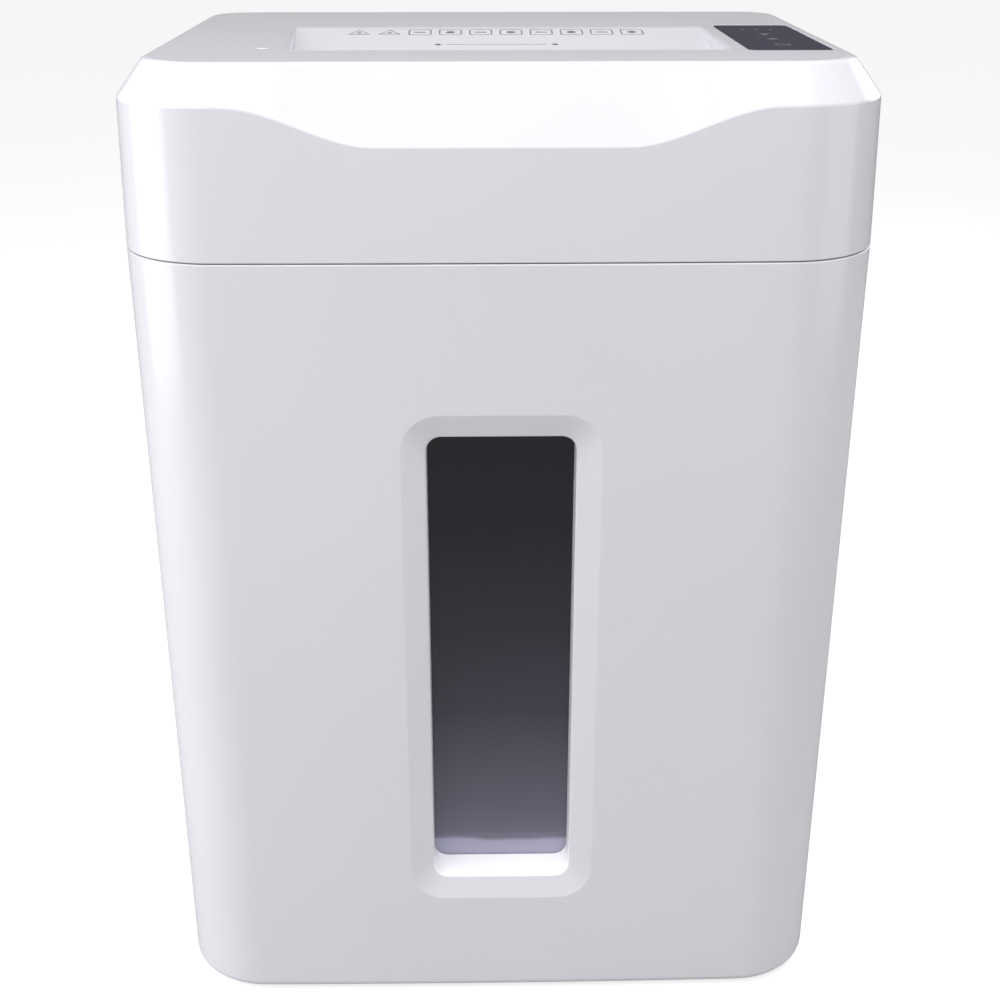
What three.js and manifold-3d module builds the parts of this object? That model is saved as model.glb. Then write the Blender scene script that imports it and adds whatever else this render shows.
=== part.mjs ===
// A desk-side cross-cut paper shredder: a moulded waste bin with a smoked window, and a lift-off cutting head.
// Millimetres, +Z up. The origin is on the floor under the middle of the case, and the front faces -Y.
import * as THREE from "three";
import { mergeVertices } from "three/addons/utils/BufferGeometryUtils.js";
import Module from "manifold-3d";

const wasm = await Module();
wasm.setup();

// ---------------------------------------------------------------- driving dimensions

const WIDTH = 383; // of the case at the seam, its widest level
const DEPTH = 305; // of the case at the seam
const HEIGHT = 538; // floor to the flat top
const HEAD_HEIGHT = 93; // from the seam between head and bin to the flat top
const SEAM_Z = HEIGHT - HEAD_HEIGHT;
const SEAM_GAP = 0.5;
const WALL = 3; // of the bin and the top cover
const GAP = 0.3; // between fixed pieces that touch on the real machine
const FRONT_RADIUS = 50; // of the upright corners, seen from above
const BACK_RADIUS = 38;
const FRONT_CROWN = 2; // how far the front bows out in the middle
const FRONT_STEPS = 28;
const FRONT_CORNER_STEPS = 7;
const BACK_CORNER_STEPS = 4;

const FOOT_HEIGHT = 2.5;
const FOOT_RADIUS = 9;
const FOOT_STEM_RADIUS = 3;
const FOOT_INSET = 48; // from the case's sides
const BIN_DRAFT = 2.5; // how much the bin narrows on each side down to its foot
const BIN_EDGE = 4; // bevel of the bin's bottom edge
const BIN_FLOOR = 3.5;

const HEAD_DRAFT = 1.5;
const TOP_WALL = 3.5;
const BEVEL_DROP = 18.5; // height of the sloping shoulder round the top
const BEVEL_SIDE = 14; // how far the shoulder runs in at the sides and the back
const BEVEL_FRONT = 16;
const SCOOP_DROP = 19; // how much lower the shoulder comes in the middle of the front
const SCOOP_INNER = 61; // half the width of its level stretch
const SCOOP_OUTER = 133; // half the width over both S-curves

const WINDOW_WIDTH = 104;
const WINDOW_BOTTOM = 67.5;
const WINDOW_TOP = SEAM_Z - 78.5;
const WINDOW_RADIUS = 20;
const WINDOW_BEVEL = 13; // width of the sloping border
const WINDOW_BEVEL_DEPTH = 4;
const REVEAL_DEPTH = 25; // from the front of the bin to the back of its window collar
const REVEAL_RADIUS = 8;
const COLLAR_WALL = 3;
const PANE_MARGIN = 4.5; // how far the pane laps behind the collar
const PANE_THICKNESS = 2.5;
const RETAINER_THICKNESS = 2;
const RETAINER_RIM = 7;
const PANE_SCREW_OFFSET = 6.5; // from the side of the reveal to the screw bosses
const PANE_SCREW_RISE = 30; // from the ends of the reveal to the screws

const SLOT_Y = -DEPTH / 2 + 82.5; // the paper's plane
const SLOT_GAP = 6;
const SLOT_LEFT = -0.2715 * WIDTH;
const SLOT_RIGHT = 0.3003 * WIDTH;
const THROAT_LEFT_FRONT = SLOT_LEFT - 2.5; // the feed recess: its left end runs out towards the back
const THROAT_LEFT_BACK = SLOT_LEFT - 11.5;
const THROAT_RIGHT = SLOT_RIGHT + 3;
const THROAT_FRONT = SLOT_Y - 12.5; // the front lip
const THROAT_BACK = SLOT_Y + 110.5;
const THROAT_SLOPE = 7; // degrees, down towards the slot

const PANEL_X = 0.387 * WIDTH; // touch panel on the right of the feed recess
const PANEL_WIDTH = 0.1117 * WIDTH;
const PANEL_FRONT = THROAT_FRONT - 4;
const PANEL_BACK = THROAT_BACK + 4.5;
const PANEL_POCKET = 2.2;
const LAMP_X = SLOT_LEFT - 16.6;
const LAMP_Y = THROAT_FRONT + 7.2;
const LAMP_RADIUS = 3;

const TRAY_INSET = 5; // the head's lower tray drops into the bin with 2 mm to spare
const TRAY_WALL = 2.5;
const TRAY_FLOOR_Z = SEAM_Z - 30;
const TRAY_FLOOR = 3;
const TRAY_TOP_Z = SEAM_Z + 21;
const CASE_SCREW_INSET_X = 27;
const CASE_SCREW_INSET_Y = 28; // keeps the bosses in front of the gear guard
const BOSS_RADIUS = 5;

const CUTTER_Z = SEAM_Z + 11;
const CUTTER_SPACING = 36; // between the two cutter shafts
const DISC_RADIUS = 20;
const SPACER_RADIUS = 14;
const DISC_PITCH = 14;
const DISC_WIDTH = 6;
const JOURNAL_RADIUS = 6;
const SHAFT_SEGMENTS = 12;
const PLATE_THICKNESS = 3;
const PLATE_MARGIN = 7.3; // from the end of the slot to the side plates
const PLATE_TOP_Z = CUTTER_Z + 38;
const MOTOR_PLATE_TOP_Z = CUTTER_Z + 50;
const BUSH_RADIUS = 9;
const RUNNING_GAP = 0.35;

const MOTOR_Y = SLOT_Y + 100;
const MOTOR_Z = CUTTER_Z + 8;
const MOTOR_RADIUS = 35;
const MOTOR_LENGTH = 112;
const MOTOR_SHAFT_RADIUS = 4;

const GEAR_FACE = 8; // face width of the first gear pair
const FINAL_FACE = 10;
const GEAR_GAP = 2; // from the side plate to the first gear
const MOTOR_PINION = { teeth: 14, module: 1 };
const COMPOUND_LARGE = { teeth: 70, module: 1 };
const COMPOUND_SMALL = { teeth: 12, module: 2 };
const FINAL_GEAR = { teeth: 34, module: 2 };
const TIMING_GEAR = { teeth: 18, module: 2 };
const AXLE_RADIUS = 4;

const INLET_X = -0.308 * WIDTH;
const SWITCH_X = INLET_X + 46;
const REAR_FITTINGS_Z = SEAM_Z + 37;
const INLET_WIDTH = 30;
const INLET_HEIGHT = 22;
const SWITCH_WIDTH = 15;
const SWITCH_HEIGHT = 21;
const FLANGE = 1.5;
const FLANGE_RIM = 2;
const ROCKER_TILT = 7; // degrees each side of level

const VENT_X = 0.157 * WIDTH; // cooling slots in the back of the head
const VENT_COUNT = 9;
const VENT_PITCH = 9;

// ---------------------------------------------------------------- worked out from them

const degrees = THREE.MathUtils.degToRad;
const lerp = THREE.MathUtils.lerp;

const SLOT_MIDDLE_X = (SLOT_LEFT + SLOT_RIGHT) / 2;
const FRONT_CUTTER_Y = SLOT_Y - CUTTER_SPACING / 2;
const REAR_CUTTER_Y = SLOT_Y + CUTTER_SPACING / 2;
const LEFT_PLATE_X = SLOT_LEFT - PLATE_MARGIN - PLATE_THICKNESS; // the plates' left faces
const RIGHT_PLATE_X = SLOT_RIGHT + PLATE_MARGIN;
const PLATE_FRONT_Y = FRONT_CUTTER_Y - DISC_RADIUS - 6;
const PLATE_BACK_Y = REAR_CUTTER_Y + DISC_RADIUS + 6;
const TRAY_TOP_OF_FLOOR = TRAY_FLOOR_Z + TRAY_FLOOR;
const PLATE_FOOT_Z = TRAY_TOP_OF_FLOOR + GAP;
const FIRST_GEAR_X = RIGHT_PLATE_X + PLATE_THICKNESS + GEAR_GAP;
const FINAL_GEAR_X = FIRST_GEAR_X + GEAR_FACE + 2;
const GEARS_END_X = FINAL_GEAR_X + FINAL_FACE;
const TIMING_GEAR_X = LEFT_PLATE_X - GEAR_GAP - FINAL_FACE;
const SLOPE = Math.tan(degrees(THROAT_SLOPE));
const SLOT_TOP_Z = HEIGHT - (THROAT_BACK - SLOT_Y) * SLOPE;
const THROAT_WALL = 3;
const GUIDE_TOP_Z = SLOT_TOP_Z - THROAT_WALL - 4 - GAP;

const pitchRadius = (gear) => (gear.teeth * gear.module) / 2;

// ---------------------------------------------------------------- materials

const material = (color, roughness, metalness = 0, extra = {}) =>
  new THREE.MeshStandardMaterial({ color, roughness, metalness, ...extra });

const whiteCase = material(0xe4e3e9, 0.22);
const smokedPane = material(0x24232d, 0.08, 0, { transparent: true, opacity: 0.6 });
const blackGloss = material(0x2b2933, 0.12);
const blackPlastic = material(0x26262a, 0.55);
const greyPlastic = material(0x55565c, 0.5);
const lampWhite = material(0xeeeef2, 0.35);
const steelPlate = material(0xb4b7bb, 0.4, 1);
const cutterSteel = material(0x8d9094, 0.32, 1);
const gearPlastic = material(0xe9e2cf, 0.45);
const gearSteel = material(0x9a9da1, 0.38, 1);
const bronze = material(0xa9793d, 0.4, 1);
const screwSteel = material(0xc3c5c8, 0.3, 1);
const motorBlack = material(0x3a3b3f, 0.45, 0.6);
const rubber = material(0x1b1b1d, 0.9);
const boardGreen = material(0x1f5a3a, 0.5);
const copperTape = material(0xc8a23a, 0.6);

// ---------------------------------------------------------------- shape helpers

/** A three.js geometry as a manifold solid, moved by an optional matrix. */
function solid(geometry, matrix) {
  const positions = new THREE.BufferGeometry();
  const source = geometry.index ? geometry.toNonIndexed() : geometry;
  positions.setAttribute("position", source.getAttribute("position").clone());
  if (matrix) positions.applyMatrix4(matrix);
  const merged = mergeVertices(positions, 1e-3);
  return new wasm.Manifold(
    new wasm.Mesh({
      numProp: 3,
      vertProperties: new Float32Array(merged.attributes.position.array),
      triVerts: new Uint32Array(merged.index.array),
    }),
  );
}

/** A named mesh from a manifold solid. */
function piece(name, body, finish) {
  const made = body.getMesh();
  const points = new Float32Array(made.numVert * 3);
  for (let i = 0; i < made.numVert; i++) {
    points.set(made.vertProperties.subarray(i * made.numProp, i * made.numProp + 3), i * 3);
  }
  const geometry = new THREE.BufferGeometry()
    .setAttribute("position", new THREE.BufferAttribute(points, 3))
    .setIndex(new THREE.BufferAttribute(new Uint32Array(made.triVerts), 1));
  geometry.computeVertexNormals();
  const mesh = new THREE.Mesh(geometry, finish);
  mesh.name = name;
  return mesh;
}

const ordered = (a, b) => [Math.min(a, b), Math.max(a, b)];

const union = (first, ...rest) => rest.reduce((sum, next) => sum.add(next), first);

function box(x0, x1, y0, y1, z0, z1) {
  const place = new THREE.Matrix4().makeTranslation((x0 + x1) / 2, (y0 + y1) / 2, (z0 + z1) / 2);
  return solid(new THREE.BoxGeometry(x1 - x0, y1 - y0, z1 - z0), place);
}

/** A cylinder from start to end along "x", "y" or "z", through the point (a, b) of the other two axes. */
function rod(axis, radius, start, end, a, b, segments = 16) {
  const place = new THREE.Matrix4();
  const middle = (start + end) / 2;
  if (axis === "x") place.makeRotationZ(Math.PI / 2).setPosition(middle, a, b);
  if (axis === "y") place.setPosition(a, middle, b);
  if (axis === "z") place.makeRotationX(Math.PI / 2).setPosition(a, b, middle);
  return solid(new THREE.CylinderGeometry(radius, radius, end - start, segments), place);
}

/** A turned piece about the X axis, from pairs of [x, radius]. */
function turned(profile, segments) {
  const points = profile.map(([x, radius]) => new THREE.Vector2(radius, x));
  return solid(new THREE.LatheGeometry(points, segments), new THREE.Matrix4().makeRotationZ(-Math.PI / 2));
}

/** A flat outline given as [y, z] pairs, run along X. */
function prismX(outline, x0, x1) {
  const shape = new THREE.Shape(outline.map(([y, z]) => new THREE.Vector2(y, z)));
  const run = new THREE.ExtrudeGeometry(shape, { depth: x1 - x0, bevelEnabled: false });
  const place = new THREE.Matrix4().makeBasis(
    new THREE.Vector3(0, 1, 0),
    new THREE.Vector3(0, 0, 1),
    new THREE.Vector3(1, 0, 0),
  );
  return solid(run, place.setPosition(x0, 0, 0));
}

/** A closed skin over rings of equally many points, each ring an array of [x, y, z]. */
function loft(rings) {
  const count = rings[0].length;
  const points = rings.flat(2);
  const index = [];
  const addCap = (ring, start, flip) => {
    const centre = points.length / 3;
    const sum = ring.reduce((s, p) => [s[0] + p[0], s[1] + p[1], s[2] + p[2]], [0, 0, 0]);
    points.push(...sum.map((v) => v / count));
    for (let i = 0; i < count; i++) {
      const a = start + i;
      const b = start + ((i + 1) % count);
      index.push(centre, flip ? b : a, flip ? a : b);
    }
  };
  rings.slice(1).forEach((_, level) => {
    for (let i = 0; i < count; i++) {
      const a = level * count + i;
      const b = level * count + ((i + 1) % count);
      index.push(a, b, b + count, a, b + count, a + count);
    }
  });
  addCap(rings[0], 0, true);
  addCap(rings.at(-1), (rings.length - 1) * count, false);
  const geometry = new THREE.BufferGeometry()
    .setAttribute("position", new THREE.BufferAttribute(new Float32Array(points), 3))
    .setIndex(index);
  return solid(geometry);
}

function arc(cx, cy, radius, from, to, steps) {
  return Array.from({ length: steps + 1 }, (_, i) => {
    const angle = degrees(lerp(from, to, i / steps));
    return [cx + radius * Math.cos(angle), cy + radius * Math.sin(angle)];
  });
}

/** The case's outline from above, drawn in by side, front and back; height(x, y) gives each point's z. */
function caseRing({ side, front = side, back = side }, height) {
  const halfWidth = WIDTH / 2 - side;
  const frontY = -DEPTH / 2 + FRONT_CROWN + front;
  const backY = DEPTH / 2 - back;
  const frontRadius = Math.max(FRONT_RADIUS - (side + front) / 2, 4);
  const backRadius = Math.max(BACK_RADIUS - (side + back) / 2, 4);
  const cornerX = halfWidth - frontRadius;
  const backX = halfWidth - backRadius;
  const frontFlat = Array.from({ length: FRONT_STEPS - 1 }, (_, i) => [
    lerp(-cornerX, cornerX, (i + 1) / FRONT_STEPS),
    frontY,
  ]);
  const points = [
    ...arc(-cornerX, frontY + frontRadius, frontRadius, 180, 270, FRONT_CORNER_STEPS),
    ...frontFlat,
    ...arc(cornerX, frontY + frontRadius, frontRadius, -90, 0, FRONT_CORNER_STEPS),
    ...arc(backX, backY - backRadius, backRadius, 0, 90, BACK_CORNER_STEPS),
    ...arc(-backX, backY - backRadius, backRadius, 90, 180, BACK_CORNER_STEPS),
  ];
  return points.map(([x, y]) => {
    const bow = y < 0 ? FRONT_CROWN * (1 - (x / halfWidth) ** 2) : 0;
    return [x, y - bow, typeof height === "function" ? height(x, y) : height];
  });
}

/** How far the bin and the head have drawn in from the seam at height z. */
function draftAt(z) {
  if (z <= SEAM_Z) return BIN_DRAFT * (1 - (z - FOOT_HEIGHT) / (SEAM_Z - FOOT_HEIGHT));
  return HEAD_DRAFT * Math.min(1, (z - SEAM_Z) / (HEIGHT - BEVEL_DROP - SEAM_Z));
}

const frontAt = (z) => -DEPTH / 2 + draftAt(z); // on the centre line
const backAt = (z) => DEPTH / 2 - draftAt(z);

/** The lower edge of the head's sloping shoulder: level, but scooped down in the middle of the front. */
function shoulderHeight(x, y) {
  if (y > 0) return HEIGHT - BEVEL_DROP;
  const t = THREE.MathUtils.smoothstep(SCOOP_OUTER - Math.abs(x), 0, SCOOP_OUTER - SCOOP_INNER);
  return HEIGHT - BEVEL_DROP - SCOOP_DROP * t;
}

/** A rounded rectangle on the bin's front, as a ring at the given depth behind it. */
function windowRing(grow, radius, depth) {
  const half = WINDOW_WIDTH / 2 + grow;
  const bottom = WINDOW_BOTTOM - grow;
  const top = WINDOW_TOP + grow;
  const corners = [
    [half - radius, bottom + radius, -90],
    [half - radius, top - radius, 0],
    [-half + radius, top - radius, 90],
    [-half + radius, bottom + radius, 180],
  ];
  const flat = corners.flatMap(([x, z, from]) => arc(x, z, radius, from, from + 90, 5));
  return flat.map(([x, z]) => [x, frontAt(z) + depth, z]).reverse();
}

/** A gear about the X axis, from x = 0 to its width, with a tooth centred on +Y. */
function gear({ teeth, module }, width, bore) {
  const pitch = (teeth * module) / 2;
  const tip = pitch + 0.8 * module;
  const root = pitch - 1.25 * module;
  const step = (2 * Math.PI) / teeth;
  const outline = Array.from({ length: teeth }, (_, i) => [
    [root, i * step - 0.3 * step],
    [tip, i * step - 0.1 * step],
    [tip, i * step + 0.1 * step],
    [root, i * step + 0.3 * step],
  ]).flat();
  const shape = new THREE.Shape(
    outline.map(([r, angle]) => new THREE.Vector2(r * Math.cos(angle), r * Math.sin(angle))),
  );
  shape.holes.push(new THREE.Path().absarc(0, 0, bore, 0, 2 * Math.PI, true));
  const run = new THREE.ExtrudeGeometry(shape, { depth: width, bevelEnabled: false, curveSegments: 8 });
  const place = new THREE.Matrix4().makeBasis(
    new THREE.Vector3(0, 1, 0),
    new THREE.Vector3(0, 0, 1),
    new THREE.Vector3(1, 0, 0),
  );
  return solid(run, place);
}

/** The turn that puts gear b's gaps on gear a's teeth, where b lies at the given angle from a. */
function meshedTurn(turnOfA, a, angle, b) {
  const share = (angle - turnOfA) / ((2 * Math.PI) / a.teeth);
  return angle + Math.PI - ((2 * Math.PI) / b.teeth) * (0.5 - share);
}

/** Puts meshes in a group at a point, turned about X. */
function mounted(x, y, z, turn, ...meshes) {
  const group = new THREE.Group();
  group.position.set(x, y, z);
  group.rotation.x = turn;
  group.add(...meshes);
  return group;
}

// ---------------------------------------------------------------- the bin

const REVEAL_GROW = -WINDOW_BEVEL;
const PANE_GROW = REVEAL_GROW + PANE_MARGIN;
const PANE_FRONT = REVEAL_DEPTH + GAP;
const RETAINER_FRONT = PANE_FRONT + PANE_THICKNESS + GAP;
const PANE_SCREWS = [-1, 1].flatMap((side) =>
  [WINDOW_BOTTOM + WINDOW_BEVEL + PANE_SCREW_RISE, WINDOW_TOP - WINDOW_BEVEL - PANE_SCREW_RISE].map(
    (z) => ({ x: side * (WINDOW_WIDTH / 2 + REVEAL_GROW + PANE_SCREW_OFFSET), z }),
  ),
);
const FEET = [-1, 1].flatMap((sx) =>
  [-1, 1].map((sy) => ({ x: sx * (WIDTH / 2 - FOOT_INSET), y: sy * (DEPTH / 2 - FOOT_INSET) })),
);
const PEG_DEPTH = 5; // the peg presses the head's safety switch
const PEG_BACK = DEPTH / 2 - WALL - 9;
const PEG = { x: 0.392 * WIDTH, width: 9, front: PEG_BACK - PEG_DEPTH, back: PEG_BACK, top: SEAM_Z + 12 };
const RIM_Z = SEAM_Z - SEAM_GAP / 2;

/** The white waste bin: one drafted shell with the window's sloping border and collar, and the safety peg. */
function wasteBin() {
  const outside = loft([
    caseRing({ side: BIN_DRAFT + BIN_EDGE }, FOOT_HEIGHT),
    caseRing({ side: draftAt(FOOT_HEIGHT + BIN_EDGE) }, FOOT_HEIGHT + BIN_EDGE),
    caseRing({ side: 0 }, RIM_Z),
  ]);
  const floorZ = FOOT_HEIGHT + BIN_FLOOR;
  const inside = loft([
    caseRing({ side: BIN_DRAFT + WALL + BIN_EDGE / 2 }, floorZ),
    caseRing({ side: draftAt(floorZ + BIN_EDGE) + WALL }, floorZ + BIN_EDGE),
    caseRing({ side: WALL - 0.05 }, RIM_Z + 5),
  ]);
  const collar = loft([
    windowRing(COLLAR_WALL, WINDOW_RADIUS + COLLAR_WALL, 1),
    windowRing(COLLAR_WALL, WINDOW_RADIUS + COLLAR_WALL, WALL),
    windowRing(REVEAL_GROW + COLLAR_WALL, REVEAL_RADIUS + COLLAR_WALL, WINDOW_BEVEL_DEPTH + WALL),
    windowRing(REVEAL_GROW + COLLAR_WALL, REVEAL_RADIUS + COLLAR_WALL, REVEAL_DEPTH),
  ]);
  const slope = WINDOW_BEVEL / WINDOW_BEVEL_DEPTH;
  const opening = loft([
    windowRing(slope, WINDOW_RADIUS + slope, -1),
    windowRing(REVEAL_GROW, REVEAL_RADIUS, WINDOW_BEVEL_DEPTH),
    windowRing(REVEAL_GROW, REVEAL_RADIUS, REVEAL_DEPTH + 5),
  ]);
  const bosses = PANE_SCREWS.map(({ x, z }) => {
    const end = frontAt(z) + RETAINER_FRONT - GAP;
    return rod("y", 4, frontAt(z) + WALL - 1, end, x, z, 12);
  });
  const pilots = PANE_SCREWS.map(({ x, z }) => {
    const end = frontAt(z) + RETAINER_FRONT;
    return rod("y", 2, end - 11, end + 1, x, z, 10);
  });
  const pegSides = [PEG.x - PEG.width / 2, PEG.x + PEG.width / 2];
  const peg = box(...pegSides, PEG.front, PEG.back, SEAM_Z - 40, PEG.top);
  const pegRoot = box(...pegSides, PEG.front, DEPTH / 2 - WALL + 1, SEAM_Z - 60, SEAM_Z - 34);
  const footHoles = FEET.map(({ x, y }) => rod("z", FOOT_STEM_RADIUS + GAP, 0, floorZ + 1, x, y, 12));
  const shell = union(outside.subtract(inside), collar, ...bosses).subtract(union(opening, ...pilots));
  return union(shell, peg, pegRoot).subtract(union(...footHoles));
}

/** The smoked pane behind the collar; it is notched round the screw bosses. */
function windowPane() {
  const plate = loft([
    windowRing(PANE_GROW, REVEAL_RADIUS, PANE_FRONT),
    windowRing(PANE_GROW, REVEAL_RADIUS, PANE_FRONT + PANE_THICKNESS),
  ]);
  const notches = PANE_SCREWS.map(({ x, z }) => rod("y", 4.4, frontAt(z), frontAt(z) + 40, x, z, 12));
  return plate.subtract(union(...notches));
}

/** The frame that clamps the pane: a ring with four ears for its screws. */
function paneRetainer() {
  const ringOf = (grow, from, to) =>
    loft([windowRing(grow, REVEAL_RADIUS, from), windowRing(grow, REVEAL_RADIUS, to)]);
  const back = RETAINER_FRONT + RETAINER_THICKNESS;
  const ears = PANE_SCREWS.map(({ x, z }) => {
    const face = frontAt(z) + RETAINER_FRONT;
    return rod("y", 5, face + 0.1, face + RETAINER_THICKNESS - 0.1, x, z, 12);
  });
  const holes = PANE_SCREWS.map(({ x, z }) => rod("y", 1.9, frontAt(z), frontAt(z) + 40, x, z, 8));
  const rim = ringOf(PANE_GROW, RETAINER_FRONT, back);
  const light = ringOf(PANE_GROW - RETAINER_RIM, RETAINER_FRONT - 3, back + 3);
  return union(rim, ...ears).subtract(union(light, ...holes));
}

/** A pan-head screw along +X from its tip at 0 to the top of its head. */
function screw(length, radius = 1.5, headRadius = 3, headHeight = 2) {
  return turned(
    [
      [0, 0],
      [1, radius],
      [length, radius],
      [length, headRadius],
      [length + headHeight * 0.6, headRadius],
      [length + headHeight, headRadius * 0.6],
      [length + headHeight, 0],
    ],
    10,
  );
}

const bin = new THREE.Group();
bin.add(piece("waste_bin", wasteBin(), whiteCase));
bin.add(piece("window_pane", windowPane(), smokedPane));
bin.add(piece("pane_retainer", paneRetainer(), blackPlastic));
PANE_SCREWS.forEach(({ x, z }, i) => {
  const mesh = piece(`pane_screw_${i + 1}`, screw(10), screwSteel);
  mesh.rotation.z = Math.PI / 2;
  mesh.position.set(x, frontAt(z) + RETAINER_FRONT + RETAINER_THICKNESS + GAP - 10, z);
  bin.add(mesh);
});
FEET.forEach(({ x, y }, i) => {
  const pad = rod("z", FOOT_RADIUS, 0, FOOT_HEIGHT - GAP, 0, 0, 16);
  const stem = rod("z", FOOT_STEM_RADIUS, 1, FOOT_HEIGHT + BIN_FLOOR - 0.5, 0, 0, 10);
  const mesh = piece(`foot_${i + 1}`, union(pad, stem), rubber);
  mesh.position.set(x, y, 0);
  bin.add(mesh);
});

// ---------------------------------------------------------------- the head's casing

const throatLeftAt = (y) =>
  lerp(THROAT_LEFT_FRONT, THROAT_LEFT_BACK, (y - THROAT_FRONT) / (THROAT_BACK - THROAT_FRONT));

/** The feed recess's cross-section, as [y, z] pairs, grown by a wall. */
function throatBody(grow, top) {
  const slotLevel = SLOT_TOP_Z - grow * 1.1;
  const section = [
    [THROAT_BACK + grow, top],
    [THROAT_FRONT - grow, top],
    [THROAT_FRONT - grow, HEIGHT - 0.8 - grow],
    [SLOT_Y - SLOT_GAP / 2 - 2 - grow * 0.5, slotLevel],
    [SLOT_Y, slotLevel],
    [THROAT_BACK + grow, HEIGHT - grow * 1.1],
  ];
  const end = (xOf) => section.map(([y, z]) => [xOf(y), y, z]);
  return loft([end((y) => throatLeftAt(y) - grow), end(() => THROAT_RIGHT + grow)]);
}

const CASE_SCREWS = [-1, 1].flatMap((sx) =>
  [-1, 1].map((sy) => ({
    x: sx * (WIDTH / 2 - CASE_SCREW_INSET_X),
    y: sy * (DEPTH / 2 - CASE_SCREW_INSET_Y),
  })),
);
const CASE_SCREW_LENGTH = 16;

function panelPocket(grow, depthBelow) {
  const half = PANEL_WIDTH / 2 + grow;
  return box(
    PANEL_X - half,
    PANEL_X + half,
    PANEL_FRONT - grow,
    PANEL_BACK + grow,
    HEIGHT - depthBelow,
    HEIGHT + 5,
  );
}

function rearCut(x, width, height, from, to, z = REAR_FITTINGS_Z) {
  return box(x - width / 2, x + width / 2, from, to, z - height / 2, z + height / 2);
}

const BACK_FACE = backAt(REAR_FITTINGS_Z);
const FLANGE_POCKET = BACK_FACE - FLANGE - GAP; // the fittings' flanges lie in a shallow step

/** The white top cover: the scooped shoulder, the feed recess and its slot, and the fittings' openings. */
function topCover() {
  const base = SEAM_Z + SEAM_GAP / 2;
  const shoulder = { side: HEAD_DRAFT };
  const top = { side: HEAD_DRAFT + BEVEL_SIDE, front: HEAD_DRAFT + BEVEL_FRONT };
  const grown = (inset, wall) => ({ side: inset.side + wall, front: (inset.front ?? inset.side) + wall });
  const withBack = (inset, back) => ({ ...inset, back });
  const outside = loft([
    caseRing({ side: 0 }, base),
    caseRing(shoulder, shoulderHeight),
    caseRing(withBack(top, top.side), HEIGHT),
  ]);
  const inside = loft([
    caseRing({ side: WALL }, base - 5),
    caseRing(grown(shoulder, WALL), (x, y) => shoulderHeight(x, y) - 1.5),
    caseRing(withBack(grown(top, WALL - 0.5), top.side + WALL - 0.5), HEIGHT - TOP_WALL),
  ]);
  const hollow = outside.subtract(inside);
  const bosses = CASE_SCREWS.map(({ x, y }) =>
    rod("z", BOSS_RADIUS, PLATE_FOOT_Z, HEIGHT - TOP_WALL + 1, x, y, 12),
  );
  const pilots = CASE_SCREWS.map(({ x, y }) =>
    rod("z", 2, PLATE_FOOT_Z - 1, PLATE_FOOT_Z + CASE_SCREW_LENGTH, x, y, 10),
  );
  const slot = box(
    SLOT_LEFT,
    SLOT_RIGHT,
    SLOT_Y - SLOT_GAP / 2,
    SLOT_Y + SLOT_GAP / 2,
    SLOT_TOP_Z - 20,
    HEIGHT + 5,
  );
  const lamp = rod("z", LAMP_RADIUS + GAP, HEIGHT - 1.5, HEIGHT + 5, LAMP_X, LAMP_Y, 16);
  const pocketRim = 2 * (FLANGE_RIM + GAP);
  const ventHeight = 34;
  const vents = Array.from({ length: VENT_COUNT }, (_, i) => {
    const x = VENT_X + (i - (VENT_COUNT - 1) / 2) * VENT_PITCH;
    return rearCut(x, 3.2, ventHeight, BACK_FACE - 12, BACK_FACE + 5);
  });
  const cuts = union(
    slot,
    lamp,
    panelPocket(GAP, PANEL_POCKET),
    rearCut(INLET_X, INLET_WIDTH, INLET_HEIGHT, BACK_FACE - 12, BACK_FACE + 5),
    rearCut(INLET_X, INLET_WIDTH + pocketRim, INLET_HEIGHT + pocketRim, FLANGE_POCKET, BACK_FACE + 5),
    rearCut(SWITCH_X, SWITCH_WIDTH, SWITCH_HEIGHT, BACK_FACE - 12, BACK_FACE + 5),
    rearCut(SWITCH_X, SWITCH_WIDTH + pocketRim, SWITCH_HEIGHT + pocketRim, FLANGE_POCKET, BACK_FACE + 5),
    ...vents,
    ...pilots,
  );
  return union(hollow, throatBody(THROAT_WALL, HEIGHT - 1), ...bosses)
    .subtract(throatBody(0, HEIGHT + 5))
    .subtract(cuts);
}

/** The grey tray that closes the head from below, open under the cutters between guard ribs. */
function lowerTray() {
  const outside = loft([
    caseRing({ side: TRAY_INSET + 2 }, TRAY_FLOOR_Z),
    caseRing({ side: TRAY_INSET }, TRAY_FLOOR_Z + 6),
    caseRing({ side: TRAY_INSET }, TRAY_TOP_Z),
  ]);
  const inside = loft([
    caseRing({ side: TRAY_INSET + 2 + TRAY_WALL }, TRAY_TOP_OF_FLOOR),
    caseRing({ side: TRAY_INSET + TRAY_WALL }, TRAY_FLOOR_Z + 7),
    caseRing({ side: TRAY_INSET + TRAY_WALL }, TRAY_TOP_Z + 5),
  ]);
  const bays = 4;
  const rib = 5;
  const left = SLOT_LEFT - 3;
  const bayWidth = (SLOT_RIGHT + 3 - left - (bays - 1) * rib) / bays;
  const outlets = Array.from({ length: bays }, (_, i) => {
    const x = left + i * (bayWidth + rib);
    return box(x, x + bayWidth, PLATE_FRONT_Y + 6, PLATE_BACK_Y - 6, TRAY_FLOOR_Z - 5, TRAY_TOP_OF_FLOOR + 5);
  });
  const screwHoles = CASE_SCREWS.map(({ x, y }) =>
    rod("z", 1.9, TRAY_FLOOR_Z - 5, TRAY_TOP_OF_FLOOR + 5, x, y, 10),
  );
  const pegRoom = box(
    PEG.x - PEG.width / 2 - 2,
    PEG.x + PEG.width / 2 + 2,
    PEG.front - 2,
    PEG.back + 2,
    TRAY_FLOOR_Z - 5,
    TRAY_TOP_OF_FLOOR + 5,
  );
  return outside.subtract(inside).subtract(union(...outlets, ...screwHoles, pegRoom));
}

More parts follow.
